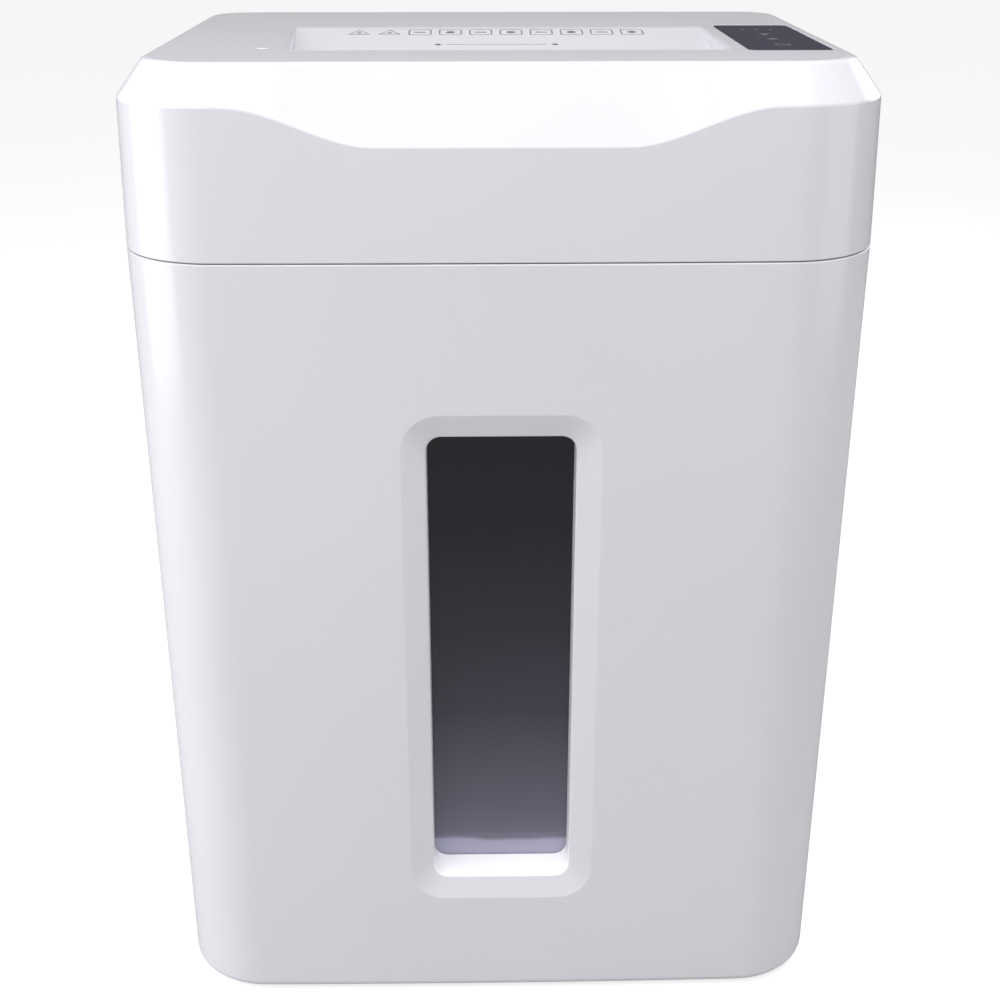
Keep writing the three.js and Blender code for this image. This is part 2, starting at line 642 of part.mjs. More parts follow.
const head = new THREE.Group();
head.add(piece("top_cover", topCover(), whiteCase));
head.add(piece("lower_tray", lowerTray(), greyPlastic));
head.add(
  piece(
    "touch_panel",
    box(
      PANEL_X - PANEL_WIDTH / 2,
      PANEL_X + PANEL_WIDTH / 2,
      PANEL_FRONT,
      PANEL_BACK,
      HEIGHT - PANEL_POCKET + GAP,
      HEIGHT,
    ),
    blackGloss,
  ),
);
head.add(
  piece("status_lamp", rod("z", LAMP_RADIUS, HEIGHT - 1.2, HEIGHT, LAMP_X, LAMP_Y, 16), lampWhite),
);
CASE_SCREWS.forEach(({ x, y }, i) => {
  const mesh = piece(`case_screw_${i + 1}`, screw(CASE_SCREW_LENGTH, 1.5, 3.2), screwSteel);
  mesh.rotation.y = Math.PI / 2;
  mesh.position.set(x, y, TRAY_FLOOR_Z - GAP + CASE_SCREW_LENGTH);
  head.add(mesh);
});

// ---------------------------------------------------------------- the feed guides and sensors

const SENSOR_Z = CUTTER_Z + 38;
const GUIDE_GAP = SLOT_GAP + 2;
const GUIDE_THICKNESS = 2;
const GUIDE_FOOT_Z = CUTTER_Z + DISC_RADIUS + 2.5;

/** One guide: an upright plate beside the paper with a foot turned away from it. */
function feedGuide(side) {
  const near = SLOT_Y + (side * GUIDE_GAP) / 2;
  const far = near + side * GUIDE_THICKNESS;
  const toe = near + side * 13;
  const section = [
    [near, GUIDE_FOOT_Z],
    [toe, GUIDE_FOOT_Z],
    [toe, GUIDE_FOOT_Z + GUIDE_THICKNESS],
    [far, GUIDE_FOOT_Z + GUIDE_THICKNESS],
    [far, GUIDE_TOP_Z],
    [near, GUIDE_TOP_Z],
  ];
  const outline = side > 0 ? section : section.reverse();
  return prismX(outline, LEFT_PLATE_X + PLATE_THICKNESS + GAP, RIGHT_PLATE_X - GAP);
}

head.add(piece("feed_guide_front", feedGuide(-1), blackPlastic));
head.add(piece("feed_guide_rear", feedGuide(1), blackPlastic));
[-1, 1].forEach((side) => {
  const y = SLOT_Y + side * (GUIDE_GAP / 2 + GUIDE_THICKNESS + GAP);
  const sides = [SLOT_MIDDLE_X - 6, SLOT_MIDDLE_X + 6];
  const body = box(...sides, ...ordered(y, y + side * 7), SENSOR_Z, SENSOR_Z + 12);
  head.add(piece(side < 0 ? "paper_sensor_emitter" : "paper_sensor_receiver", body, blackPlastic));
});

// ---------------------------------------------------------------- the cutting frame

const MOTOR_PLATE_BACK_Y = MOTOR_Y + MOTOR_RADIUS + 7;
const TIE_RODS = [
  { y: PLATE_FRONT_Y + 8, z: PLATE_TOP_Z - 7 },
  { y: PLATE_BACK_Y - 8, z: PLATE_TOP_Z - 7 },
  { y: PLATE_BACK_Y - 4.5, z: PLATE_FOOT_Z + 7 },
  { y: PLATE_FRONT_Y + 4.5, z: PLATE_FOOT_Z + 7 },
];
const TIE_RADIUS = 4;
const TIE_NECK = 2.5;
const CUTTER_YS = [FRONT_CUTTER_Y, REAR_CUTTER_Y];

const reach = pitchRadius(FINAL_GEAR) + pitchRadius(COMPOUND_SMALL);
const motorReach = pitchRadius(MOTOR_PINION) + pitchRadius(COMPOUND_LARGE);
const fromRear = new THREE.Vector2(MOTOR_Y - REAR_CUTTER_Y, MOTOR_Z - CUTTER_Z);
const apart = fromRear.length();
const along = (reach ** 2 - motorReach ** 2 + apart ** 2) / (2 * apart);
const aside = Math.sqrt(reach ** 2 - along ** 2);
const unit = fromRear.clone().normalize();
const COMPOUND_Y = REAR_CUTTER_Y + unit.x * along - unit.y * aside;
const COMPOUND_Z = CUTTER_Z + unit.y * along + unit.x * aside;

const MOTOR_SCREWS = [-1, 1].map((side) => ({ y: MOTOR_Y + side * 22, z: MOTOR_Z }));

function sidePlate(x, topZ, backY, extraHoles) {
  const corner = 8;
  const outline = [
    [PLATE_FRONT_Y, PLATE_FOOT_Z],
    [backY, PLATE_FOOT_Z],
    [backY, topZ - corner],
    [backY - corner, topZ],
    [PLATE_FRONT_Y + corner, topZ],
    [PLATE_FRONT_Y, topZ - corner],
  ];
  const bushHoles = CUTTER_YS.map((y) => rod("x", BUSH_RADIUS + GAP, x - 5, x + 10, y, CUTTER_Z));
  const tieHoles = TIE_RODS.map(({ y, z }) => rod("x", TIE_NECK + GAP, x - 5, x + 10, y, z, 12));
  return prismX(outline, x, x + PLATE_THICKNESS).subtract(union(...bushHoles, ...tieHoles, ...extraHoles));
}

const rightPlateHoles = [
  rod("x", 9, RIGHT_PLATE_X - 5, RIGHT_PLATE_X + 10, MOTOR_Y, MOTOR_Z),
  rod("x", AXLE_RADIUS + GAP, RIGHT_PLATE_X - 5, RIGHT_PLATE_X + 10, COMPOUND_Y, COMPOUND_Z, 12),
  ...MOTOR_SCREWS.map(({ y, z }) => rod("x", 1.9, RIGHT_PLATE_X - 5, RIGHT_PLATE_X + 10, y, z, 10)),
];
head.add(piece("side_plate_left", sidePlate(LEFT_PLATE_X, PLATE_TOP_Z, PLATE_BACK_Y, []), steelPlate));
const motorPlate = sidePlate(RIGHT_PLATE_X, MOTOR_PLATE_TOP_Z, MOTOR_PLATE_BACK_Y, rightPlateHoles);
head.add(piece("side_plate_right", motorPlate, steelPlate));

/** A tie rod between the side plates, riveted over outside them. */
TIE_RODS.forEach(({ y, z }, i) => {
  const innerLeft = LEFT_PLATE_X + PLATE_THICKNESS + GAP;
  const innerRight = RIGHT_PLATE_X - GAP;
  const outerLeft = LEFT_PLATE_X - GAP;
  const outerRight = RIGHT_PLATE_X + PLATE_THICKNESS + GAP;
  const profile = [
    [outerLeft - 1.5, 0],
    [outerLeft - 1.5, TIE_RADIUS],
    [outerLeft, TIE_RADIUS],
    [outerLeft, TIE_NECK],
    [innerLeft, TIE_NECK],
    [innerLeft, TIE_RADIUS],
    [innerRight, TIE_RADIUS],
    [innerRight, TIE_NECK],
    [outerRight, TIE_NECK],
    [outerRight, TIE_RADIUS],
    [outerRight + 1.5, TIE_RADIUS],
    [outerRight + 1.5, 0],
  ];
  head.add(mounted(0, y, z, 0, piece(`tie_rod_${i + 1}`, turned(profile, 10), steelPlate)));
});

/** Bushes for both shafts in both plates, each with a flange inside the plate. */
CUTTER_YS.forEach((y) => {
  [-1, 1].forEach((side) => {
    const inner = side < 0 ? LEFT_PLATE_X + PLATE_THICKNESS + GAP : RIGHT_PLATE_X - GAP;
    const flangeEnd = inner - side * 1.5;
    const outer = side < 0 ? LEFT_PLATE_X - 0.5 : RIGHT_PLATE_X + PLATE_THICKNESS + 0.5;
    const sleeve = rod("x", BUSH_RADIUS, ...ordered(flangeEnd, outer), 0, 0);
    const flange = rod("x", BUSH_RADIUS + 2, ...ordered(inner, flangeEnd), 0, 0);
    const [boreStart, boreEnd] = ordered(flangeEnd, outer);
    const bore = rod("x", JOURNAL_RADIUS + RUNNING_GAP, boreStart - 5, boreEnd + 5, 0, 0, 24);
    const name = `bush_${y === FRONT_CUTTER_Y ? "front" : "rear"}_${side < 0 ? "left" : "right"}`;
    head.add(mounted(0, y, CUTTER_Z, 0, piece(name, union(sleeve, flange).subtract(bore), bronze)));
  });
});

/** A cutter shaft about X: journals at both ends and a row of discs, offset so that two shafts interleave. */
function cutterShaft(offset, rightEnd) {
  const start = LEFT_PLATE_X + PLATE_THICKNESS + GAP + 2;
  const end = RIGHT_PLATE_X - GAP - 2;
  const discs = Math.floor((end - start - DISC_PITCH) / DISC_PITCH);
  const first = (start + end - (discs - 1) * DISC_PITCH) / 2 - DISC_WIDTH / 2 + offset;
  const rings = Array.from({ length: discs }, (_, i) => {
    const x = first + i * DISC_PITCH;
    return [
      [x, SPACER_RADIUS],
      [x, DISC_RADIUS],
      [x + DISC_WIDTH, DISC_RADIUS],
      [x + DISC_WIDTH, SPACER_RADIUS],
    ];
  }).flat();
  const profile = [
    [TIMING_GEAR_X - 2, 0],
    [TIMING_GEAR_X - 2, JOURNAL_RADIUS],
    [start, JOURNAL_RADIUS],
    [start, SPACER_RADIUS],
    ...rings,
    [end, SPACER_RADIUS],
    [end, JOURNAL_RADIUS],
    [rightEnd, JOURNAL_RADIUS],
    [rightEnd, 0],
  ];
  return turned(profile, SHAFT_SEGMENTS);
}

const DISC_OFFSET = DISC_PITCH / 4; // each shaft's discs run in the other's gaps
const GEAR_BORE = JOURNAL_RADIUS + GAP + 0.2;
const timingTurn = meshedTurn(0, TIMING_GEAR, Math.PI, TIMING_GEAR);
const timing = (name) => {
  const mesh = piece(name, gear(TIMING_GEAR, FINAL_FACE, GEAR_BORE), gearSteel);
  mesh.position.x = TIMING_GEAR_X;
  return mesh;
};
head.add(
  mounted(
    0,
    REAR_CUTTER_Y,
    CUTTER_Z,
    0,
    piece("cutter_shaft_rear", cutterShaft(DISC_OFFSET, GEARS_END_X + 2), cutterSteel),
    timing("timing_gear_rear"),
  ),
  mounted(
    0,
    FRONT_CUTTER_Y,
    CUTTER_Z,
    0,
    piece(
      "cutter_shaft_front",
      cutterShaft(-DISC_OFFSET, RIGHT_PLATE_X + PLATE_THICKNESS + 1.5),
      cutterSteel,
    ),
  ),
  mounted(0, FRONT_CUTTER_Y, CUTTER_Z, timingTurn, timing("timing_gear_front")),
);

/** A stripper comb: a bar along the cutters' outer side, with a finger between each two discs. */
function stripperComb(side, offset) {
  const shaftY = SLOT_Y + (side * CUTTER_SPACING) / 2;
  const barNear = shaftY + side * (DISC_RADIUS + 1);
  const barFar = barNear + side * 4;
  const fingerTip = shaftY + side * (SPACER_RADIUS + 1.2);
  const start = LEFT_PLATE_X + PLATE_THICKNESS + GAP;
  const end = RIGHT_PLATE_X - GAP;
  const bar = box(start, end, ...ordered(barNear, barFar), CUTTER_Z - 7, CUTTER_Z + 7);
  const discs = Math.floor((end - start - 4 - DISC_PITCH) / DISC_PITCH);
  const first = (start + end - (discs - 1) * DISC_PITCH) / 2 + offset;
  const fingers = Array.from({ length: discs - 1 }, (_, i) => {
    const x = first + (i + 0.5) * DISC_PITCH;
    return box(x - 2.5, x + 2.5, ...ordered(fingerTip, barNear + side), CUTTER_Z - 4, CUTTER_Z + 4);
  });
  return union(bar, ...fingers);
}

head.add(piece("stripper_comb_front", stripperComb(-1, -DISC_OFFSET), blackPlastic));
head.add(piece("stripper_comb_rear", stripperComb(1, DISC_OFFSET), blackPlastic));

// ---------------------------------------------------------------- the drive

const compoundAngle = Math.atan2(COMPOUND_Z - CUTTER_Z, COMPOUND_Y - REAR_CUTTER_Y);
const motorAngle = Math.atan2(MOTOR_Z - COMPOUND_Z, MOTOR_Y - COMPOUND_Y);
const compoundTurn = meshedTurn(0, FINAL_GEAR, compoundAngle, COMPOUND_SMALL);
const pinionTurn = meshedTurn(compoundTurn, COMPOUND_LARGE, motorAngle, MOTOR_PINION);

function compoundGear() {
  const large = gear(COMPOUND_LARGE, GEAR_FACE, AXLE_RADIUS + RUNNING_GAP);
  const smallStart = GEAR_FACE - 0.5;
  const smallWidth = FINAL_GEAR_X + FINAL_FACE - FIRST_GEAR_X - smallStart;
  const small = gear(COMPOUND_SMALL, smallWidth, AXLE_RADIUS + RUNNING_GAP);
  return large.add(small.translate([smallStart, 0, 0]));
}

const finalGear = piece("final_gear", gear(FINAL_GEAR, FINAL_FACE, GEAR_BORE), gearSteel);
head.add(mounted(FINAL_GEAR_X, REAR_CUTTER_Y, CUTTER_Z, 0, finalGear));
const compound = piece("compound_gear", compoundGear(), gearPlastic);
head.add(mounted(FIRST_GEAR_X, COMPOUND_Y, COMPOUND_Z, compoundTurn, compound));
const axleProfile = [
  [RIGHT_PLATE_X, 0],
  [RIGHT_PLATE_X, AXLE_RADIUS],
  [GEARS_END_X + 1.5, AXLE_RADIUS],
  [GEARS_END_X + 1.5, 0],
];
head.add(mounted(0, COMPOUND_Y, COMPOUND_Z, 0, piece("gear_axle", turned(axleProfile, 12), gearSteel)));

const MOTOR_RIGHT = RIGHT_PLATE_X - GAP;
const MOTOR_LEFT = MOTOR_RIGHT - MOTOR_LENGTH;
const motorBore = MOTOR_SHAFT_RADIUS + 0.7;
const MOTOR_CAP = 7;
const canProfile = [
  [MOTOR_LEFT, motorBore],
  [MOTOR_LEFT, MOTOR_RADIUS - 5],
  [MOTOR_LEFT + 4, MOTOR_RADIUS],
  [MOTOR_RIGHT - 4, MOTOR_RADIUS],
  [MOTOR_RIGHT, MOTOR_RADIUS - 5],
  [MOTOR_RIGHT, motorBore],
  [MOTOR_RIGHT - MOTOR_CAP, motorBore],
  [MOTOR_RIGHT - MOTOR_CAP, MOTOR_RADIUS - 7],
  [MOTOR_LEFT + MOTOR_CAP, MOTOR_RADIUS - 7],
  [MOTOR_LEFT + MOTOR_CAP, motorBore],
  [MOTOR_LEFT, motorBore],
];
const motorPilots = MOTOR_SCREWS.map(({ y, z }) =>
  rod("x", 1.7, MOTOR_RIGHT - MOTOR_CAP - 2, MOTOR_RIGHT + 5, y - MOTOR_Y, z - MOTOR_Z, 8),
);
const motorCan = turned(canProfile, 24).subtract(union(...motorPilots));
head.add(mounted(0, MOTOR_Y, MOTOR_Z, 0, piece("motor_can", motorCan, motorBlack)));
MOTOR_SCREWS.forEach(({ y, z }, i) => {
  const mesh = piece(`motor_screw_${i + 1}`, screw(8, 1.4, 2.6, 1.2), screwSteel);
  mesh.position.set(RIGHT_PLATE_X + PLATE_THICKNESS + 0.2 - 8, y, z);
  head.add(mesh);
});

const ARMATURE_RADIUS = MOTOR_RADIUS - 11;
const rotorProfile = [
  [MOTOR_LEFT - 12, 0],
  [MOTOR_LEFT - 12, MOTOR_SHAFT_RADIUS],
  [MOTOR_LEFT + MOTOR_CAP + 5, MOTOR_SHAFT_RADIUS],
  [MOTOR_LEFT + MOTOR_CAP + 5, 11],
  [MOTOR_LEFT + MOTOR_CAP + 22, 11],
  [MOTOR_LEFT + MOTOR_CAP + 22, ARMATURE_RADIUS],
  [MOTOR_RIGHT - MOTOR_CAP - 8, ARMATURE_RADIUS],
  [MOTOR_RIGHT - MOTOR_CAP - 8, MOTOR_SHAFT_RADIUS],
  [FIRST_GEAR_X + GEAR_FACE + 1, MOTOR_SHAFT_RADIUS],
  [FIRST_GEAR_X + GEAR_FACE + 1, 0],
];
const PINION_BORE = MOTOR_SHAFT_RADIUS + GAP + 0.1;
const pinion = piece("motor_pinion", gear(MOTOR_PINION, GEAR_FACE, PINION_BORE), gearSteel);
pinion.position.x = FIRST_GEAR_X;

/** The motor's cooling fan: a hub with straight blades. */
function motorFan() {
  const width = 8;
  const hub = rod("x", 9, 0, width, 0, 0, 16);
  const blades = Array.from({ length: 8 }, (_, i) => {
    const turn = new THREE.Matrix4().makeRotationX((i * Math.PI) / 4);
    const place = new THREE.Matrix4().makeTranslation(width / 2, 18, 0);
    return solid(new THREE.BoxGeometry(width - 1, 22, 1.6), turn.multiply(place));
  });
  const bore = rod("x", MOTOR_SHAFT_RADIUS + GAP + 0.1, -5, width + 5, 0, 0, 16);
  return union(hub, ...blades).subtract(bore);
}

const fan = piece("motor_fan", motorFan(), gearPlastic);
fan.position.x = MOTOR_LEFT - 10.5;
head.add(
  mounted(0, MOTOR_Y, MOTOR_Z, 0, piece("motor_rotor", turned(rotorProfile, 16), gearSteel), fan),
  mounted(0, MOTOR_Y, MOTOR_Z, pinionTurn, pinion),
);

/** A cap over the gears, open towards the side plate and the tray. */
function gearGuard() {
  const left = RIGHT_PLATE_X + PLATE_THICKNESS + GAP;
  const right = GEARS_END_X + 6;
  const front = PLATE_FRONT_Y - 4;
  const back = MOTOR_PLATE_BACK_Y - 4;
  const top = Math.min(COMPOUND_Z + pitchRadius(COMPOUND_LARGE) + 5, HEIGHT - TOP_WALL - 14);
  const skin = 2;
  const outer = box(left, right, front, back, PLATE_FOOT_Z, top);
  return outer.subtract(box(left - 5, right - skin, front + skin, back - skin, PLATE_FOOT_Z - 5, top - skin));
}

head.add(piece("gear_guard", gearGuard(), blackPlastic));

// ---------------------------------------------------------------- boards, inlet and switches

const BOARD = {
  left: -0.397 * WIDTH,
  right: -0.136 * WIDTH,
  front: DEPTH / 2 - 90.5,
  back: DEPTH / 2 - 18.5,
  z: TRAY_TOP_OF_FLOOR + 5,
  thickness: 1.6,
};
const boardLegs = [BOARD.left + 6, BOARD.right - 6].flatMap((x) =>
  [BOARD.front + 6, BOARD.back - 6].map((y) => rod("z", 3, PLATE_FOOT_Z, BOARD.z + 0.5, x, y, 8)),
);
const boardPlate = box(BOARD.left, BOARD.right, BOARD.front, BOARD.back, BOARD.z, BOARD.z + BOARD.thickness);
head.add(piece("main_board", union(boardPlate, ...boardLegs), boardGreen));
const boardTop = BOARD.z + BOARD.thickness + GAP;
const onBoard = (x, y, width, depth, height) => {
  const left = BOARD.left + x;
  const front = BOARD.front + y;
  return box(left, left + width, front, front + depth, boardTop, boardTop + height);
};
head.add(piece("board_transformer", onBoard(6, 12, 30, 28, 26), copperTape));
head.add(piece("board_relay", onBoard(43, 12, 18, 15, 15), blackPlastic));
const capacitorX = BOARD.left + 74;
const capacitor = rod("z", 8, boardTop, boardTop + 24, capacitorX, BOARD.front + 20, 12);
head.add(piece("board_capacitor", capacitor, blackPlastic));

const PANEL_BOARD_Z = HEIGHT - TOP_WALL - 6.5;
const panelBoard = box(
  PANEL_X - PANEL_WIDTH / 2 + 3,
  PANEL_X + PANEL_WIDTH / 2 - 5,
  PANEL_FRONT + 6,
  PANEL_BACK - 6,
  PANEL_BOARD_Z,
  PANEL_BOARD_Z + 1.6,
);
const lamps = Array.from({ length: 4 }, (_, i) => {
  const y = lerp(PANEL_FRONT, PANEL_BACK, (i + 1) / 5);
  return rod("z", 2.2, PANEL_BOARD_Z + 1, HEIGHT - TOP_WALL - GAP, PANEL_X, y, 10);
});
head.add(piece("panel_board", union(panelBoard, ...lamps), boardGreen));

/** The mains inlet: a flanged box with a socket open to the back and three blades in it. */
function powerInlet() {
  const depth = 16;
  const face = FLANGE_POCKET + GAP + FLANGE;
  const rim = 2 * FLANGE_RIM;
  const flange = rearCut(INLET_X, INLET_WIDTH + rim, INLET_HEIGHT + rim, face - FLANGE, face);
  const body = rearCut(INLET_X, INLET_WIDTH - 2 * GAP, INLET_HEIGHT - 2 * GAP, face - depth - 4, face - 0.5);
  const socket = rearCut(INLET_X, INLET_WIDTH - 5, INLET_HEIGHT - 5, face - depth, face + 5);
  const blade = (x, z) => rearCut(INLET_X + x, 2, 4, face - depth - 1, face - 4, REAR_FITTINGS_Z + z);
  return union(union(flange, body).subtract(socket), blade(-7, -4), blade(0, -1), blade(7, -4));
}

const ROCKER_Y = FLANGE_POCKET + GAP + FLANGE - 5;

/** The power switch's frame round its rocker. */
function switchFrame() {
  const face = FLANGE_POCKET + GAP + FLANGE;
  const rim = 2 * FLANGE_RIM;
  const flange = rearCut(SWITCH_X, SWITCH_WIDTH + rim, SWITCH_HEIGHT + rim, face - FLANGE, face);
  const body = rearCut(SWITCH_X, SWITCH_WIDTH - 2 * GAP, SWITCH_HEIGHT - 2 * GAP, face - 20, face - 0.5);
  const well = rearCut(SWITCH_X, SWITCH_WIDTH - 3, SWITCH_HEIGHT - 2.5, face - 13, face + 5);
  return union(flange, body).subtract(well);
}

/** The rocker about its own pivot, a shallow V towards +Y. */
function rockerKey() {
  const half = (SWITCH_HEIGHT - 2.5) / 2 - 1;
  const outline = [
    [-4, -half + 2],
    [2.2, -half],
    [3.4, 0],
    [2.2, half],
    [-4, half - 2],
  ];
  return prismX(outline, -(SWITCH_WIDTH - 3) / 2 + GAP, (SWITCH_WIDTH - 3) / 2 - GAP);
}

head.add(piece("power_inlet", powerInlet(), blackPlastic));
head.add(piece("power_switch_frame", switchFrame(), blackPlastic));
const rocker = piece("power_rocker", rockerKey(), blackGloss);
head.add(mounted(SWITCH_X, ROCKER_Y, REAR_FITTINGS_Z, degrees(ROCKER_TILT), rocker));

const SAFETY = { y: (PEG.front + PEG.back) / 2, z: PEG.top + 3.2 };
const LEVER_X = PEG.x - 24; // the lever's hinge
const switchBody = box(PEG.x - 34, PEG.x + 2, SAFETY.y - 5, SAFETY.y + 5, SAFETY.z, SAFETY.z + 12);
const switchPost = box(PEG.x - 34, PEG.x - 28, SAFETY.y - 5, SAFETY.y + 5, PLATE_FOOT_Z, SAFETY.z + 1);
head.add(piece("safety_switch", union(switchBody, switchPost), blackPlastic));
const leverBar = box(0, 27, -2.5, 2.5, -1.9, -1.1);
const leverHinge = rod("y", 1.2, -2.5, 2.5, 0, -0.8, 8);
const lever = piece("safety_lever", union(leverBar, leverHinge), screwSteel);
lever.position.set(LEVER_X, SAFETY.y, SAFETY.z - GAP - 0.6);
head.add(lever);

const shredder = new THREE.Group();
shredder.add(bin, head);

export default shredder;
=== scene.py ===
"""A desk-side paper shredder: a glossy white waste bin with a smoked window, and a lift-off cutting head."""

import math

import bmesh
import bpy
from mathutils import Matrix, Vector
from mathutils.geometry import delaunay_2d_cdt


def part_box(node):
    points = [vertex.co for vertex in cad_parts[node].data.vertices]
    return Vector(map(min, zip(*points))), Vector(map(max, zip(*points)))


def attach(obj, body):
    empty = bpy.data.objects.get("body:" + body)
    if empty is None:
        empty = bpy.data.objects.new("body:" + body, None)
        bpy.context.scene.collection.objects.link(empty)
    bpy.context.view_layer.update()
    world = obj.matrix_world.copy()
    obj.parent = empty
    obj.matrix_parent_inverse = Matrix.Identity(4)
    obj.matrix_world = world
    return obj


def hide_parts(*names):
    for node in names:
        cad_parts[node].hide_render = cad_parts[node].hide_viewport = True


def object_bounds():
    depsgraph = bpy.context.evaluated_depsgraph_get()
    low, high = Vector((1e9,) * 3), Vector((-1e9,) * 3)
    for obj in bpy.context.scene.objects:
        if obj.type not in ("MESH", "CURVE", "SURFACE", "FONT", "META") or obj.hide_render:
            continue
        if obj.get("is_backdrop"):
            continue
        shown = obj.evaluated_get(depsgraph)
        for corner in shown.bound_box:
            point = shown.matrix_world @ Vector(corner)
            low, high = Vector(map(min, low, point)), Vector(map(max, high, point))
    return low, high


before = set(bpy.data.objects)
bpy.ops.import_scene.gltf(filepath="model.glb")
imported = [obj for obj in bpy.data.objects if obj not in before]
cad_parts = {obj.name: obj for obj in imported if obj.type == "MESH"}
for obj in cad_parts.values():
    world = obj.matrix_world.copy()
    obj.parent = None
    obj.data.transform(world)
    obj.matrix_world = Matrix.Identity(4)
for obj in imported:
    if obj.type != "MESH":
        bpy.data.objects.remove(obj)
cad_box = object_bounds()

# ---------------------------------------------------------------- glossy white casing material
# The bin and the top cover are injection moulded in glossy white ABS with a faint cool cast. The tool's
# polish leaves a slight ripple in the gloss, and the plastic's thickness shows as a very soft tone change.

MM = 0.001


def new_material(name):
    """A material with an empty node tree but its Principled BSDF, and that shader."""
    material = bpy.data.materials.new(name)
    material.use_nodes = True
    return material, material.node_tree, material.node_tree.nodes["Principled BSDF"]


def moulding_group():
    """Object coordinates in, and out of it a slow tone, a fine speckle and a ripple height, each 0 to 1."""
    group = bpy.data.node_groups.new("moulded_surface", "ShaderNodeTree")
    interface = group.interface
    for name, default in (("Tone Size", 6.0), ("Speckle Size", 900.0), ("Ripple Size", 60.0)):
        socket = interface.new_socket(name, in_out="INPUT", socket_type="NodeSocketFloat")
        socket.default_value = default
    for name in ("Tone", "Speckle", "Ripple"):
        interface.new_socket(name, in_out="OUTPUT", socket_type="NodeSocketFloat")
    nodes, links = group.nodes, group.links
    inputs = nodes.new("NodeGroupInput")
    outputs = nodes.new("NodeGroupOutput")
    where = nodes.new("ShaderNodeTexCoord")
    for name, size, detail in (
        ("Tone", "Tone Size", 2.0),
        ("Speckle", "Speckle Size", 1.0),
        ("Ripple", "Ripple Size", 1.0),
    ):
        noise = nodes.new("ShaderNodeTexNoise")
        noise.inputs["Detail"].default_value = detail
        links.new(where.outputs["Object"], noise.inputs["Vector"])
        links.new(inputs.outputs[size], noise.inputs["Scale"])
        links.new(noise.outputs["Fac"], outputs.inputs[name])
    return group


MOULDED = moulding_group()


def moulded(name, dark, light, roughness, bump=0.02, ripple_size=60.0, speckle_size=900.0, height="Ripple"):
    """A moulded plastic: its colour wanders between dark and light, its roughness between two values."""
    material, tree, shader = new_material(name)
    surface = tree.nodes.new("ShaderNodeGroup")
    surface.node_tree = MOULDED
    surface.inputs["Ripple Size"].default_value = ripple_size
    surface.inputs["Speckle Size"].default_value = speckle_size
    colour = tree.nodes.new("ShaderNodeMix")
    colour.data_type = "RGBA"
    colour.inputs["A"].default_value = (*dark, 1)
    colour.inputs["B"].default_value = (*light, 1)
    tree.links.new(surface.outputs["Tone"], colour.inputs["Factor"])
    tree.links.new(colour.outputs["Result"], shader.inputs["Base Color"])
    gloss = tree.nodes.new("ShaderNodeMapRange")
    gloss.inputs["To Min"].default_value, gloss.inputs["To Max"].default_value = roughness
    tree.links.new(surface.outputs["Speckle"], gloss.inputs["Value"])
    tree.links.new(gloss.outputs["Result"], shader.inputs["Roughness"])
    relief = tree.nodes.new("ShaderNodeBump")
    relief.inputs["Strength"].default_value = bump
    relief.inputs["Distance"].default_value = 0.2 * MM
    tree.links.new(surface.outputs[height], relief.inputs["Height"])
    tree.links.new(relief.outputs["Normal"], shader.inputs["Normal"])
    return material


case_white = moulded("case_white", (0.60, 0.595, 0.635), (0.64, 0.635, 0.675), (0.16, 0.22))

# ---------------------------------------------------------------- waste bin
# One deep bin with a slight draft, 3 mm thick. Its front has a tall window with a sloping border, and
# behind that a 25 mm deep collar with four screw bosses, its inside painted whiter as painted light from
# above. A peg at the back presses the head's switch.

HALF_WIDTH = cad_box[1].x
HALF_DEPTH = cad_box[1].y
HEIGHT = cad_box[1].z
SEAM_Z = HEIGHT - 93 * MM
SEAM_GAP = 0.5 * MM
WALL = 3 * MM
FRONT_RADIUS = 50 * MM
BACK_RADIUS = 38 * MM
LEAST_RADIUS = 4 * MM
FRONT_CROWN = 2 * MM
BIN_BOTTOM = 2.5 * MM
BIN_DRAFT = 2.5 * MM
WINDOW_HALF = 52 * MM
WINDOW_LOW = 67.5 * MM
WINDOW_HIGH = SEAM_Z - 78.5 * MM
WINDOW_RADIUS = 20 * MM
WINDOW_BORDER = 13 * MM
WINDOW_BORDER_DEPTH = 4 * MM
BORDER_OUTER_EDGE = 4 * MM
BORDER_INNER_EDGE = 1.6 * MM
COLLAR_EDGE = 0.5 * MM
REVEAL_DEPTH = 25 * MM
REVEAL_RADIUS = 8 * MM
REVEAL_NEAR = WINDOW_BORDER_DEPTH + 0.5 * MM  # the box that holds the recess's own faces
REVEAL_FAR = REVEAL_DEPTH - 0.5 * MM
REVEAL_REACH = WINDOW_HALF - WINDOW_BORDER + 0.5 * MM
REVEAL_LOW = WINDOW_LOW + WINDOW_BORDER - 0.5 * MM
REVEAL_HIGH = WINDOW_HIGH - WINDOW_BORDER + 0.5 * MM
BOSS_X = WINDOW_HALF - WINDOW_BORDER + 6.5 * MM
BOSS_RISE = WINDOW_BORDER + 30 * MM
BOSS_END = REVEAL_DEPTH + 2.8 * MM
BOSS_RADIUS = 4 * MM
PEG_X = 0.392 * 2 * HALF_WIDTH
PEG_Y = HALF_DEPTH - WALL - 11.5 * MM
PEG_RADIUS = 2.4 * MM
PEG_TOP = SEAM_Z + 12 * MM
PEG_FOOT = SEAM_Z - 58 * MM
PEG_ARM_Z = SEAM_Z - 55 * MM
PEG_ARM_RADIUS = 3 * MM
BIN_EDGE = 5 * MM  # the radius round the bin's bottom, outside
BIN_EDGE_INSIDE = 3 * MM
RIM_EDGE = 0.7 * MM
WINDOW_EDGE = 3 * MM  # how far the patch's finest rings reach past the window
FIELD_HALF = 76 * MM  # the patch of the front that the window is let into
FIELD_LOW = 42 * MM
FIELD_HIGH = SEAM_Z - 42 * MM
FIELD_COLUMNS = 48
FIELD_ROWS = 84
FIELD_RINGS = 8  # from the patch's edge to the window's
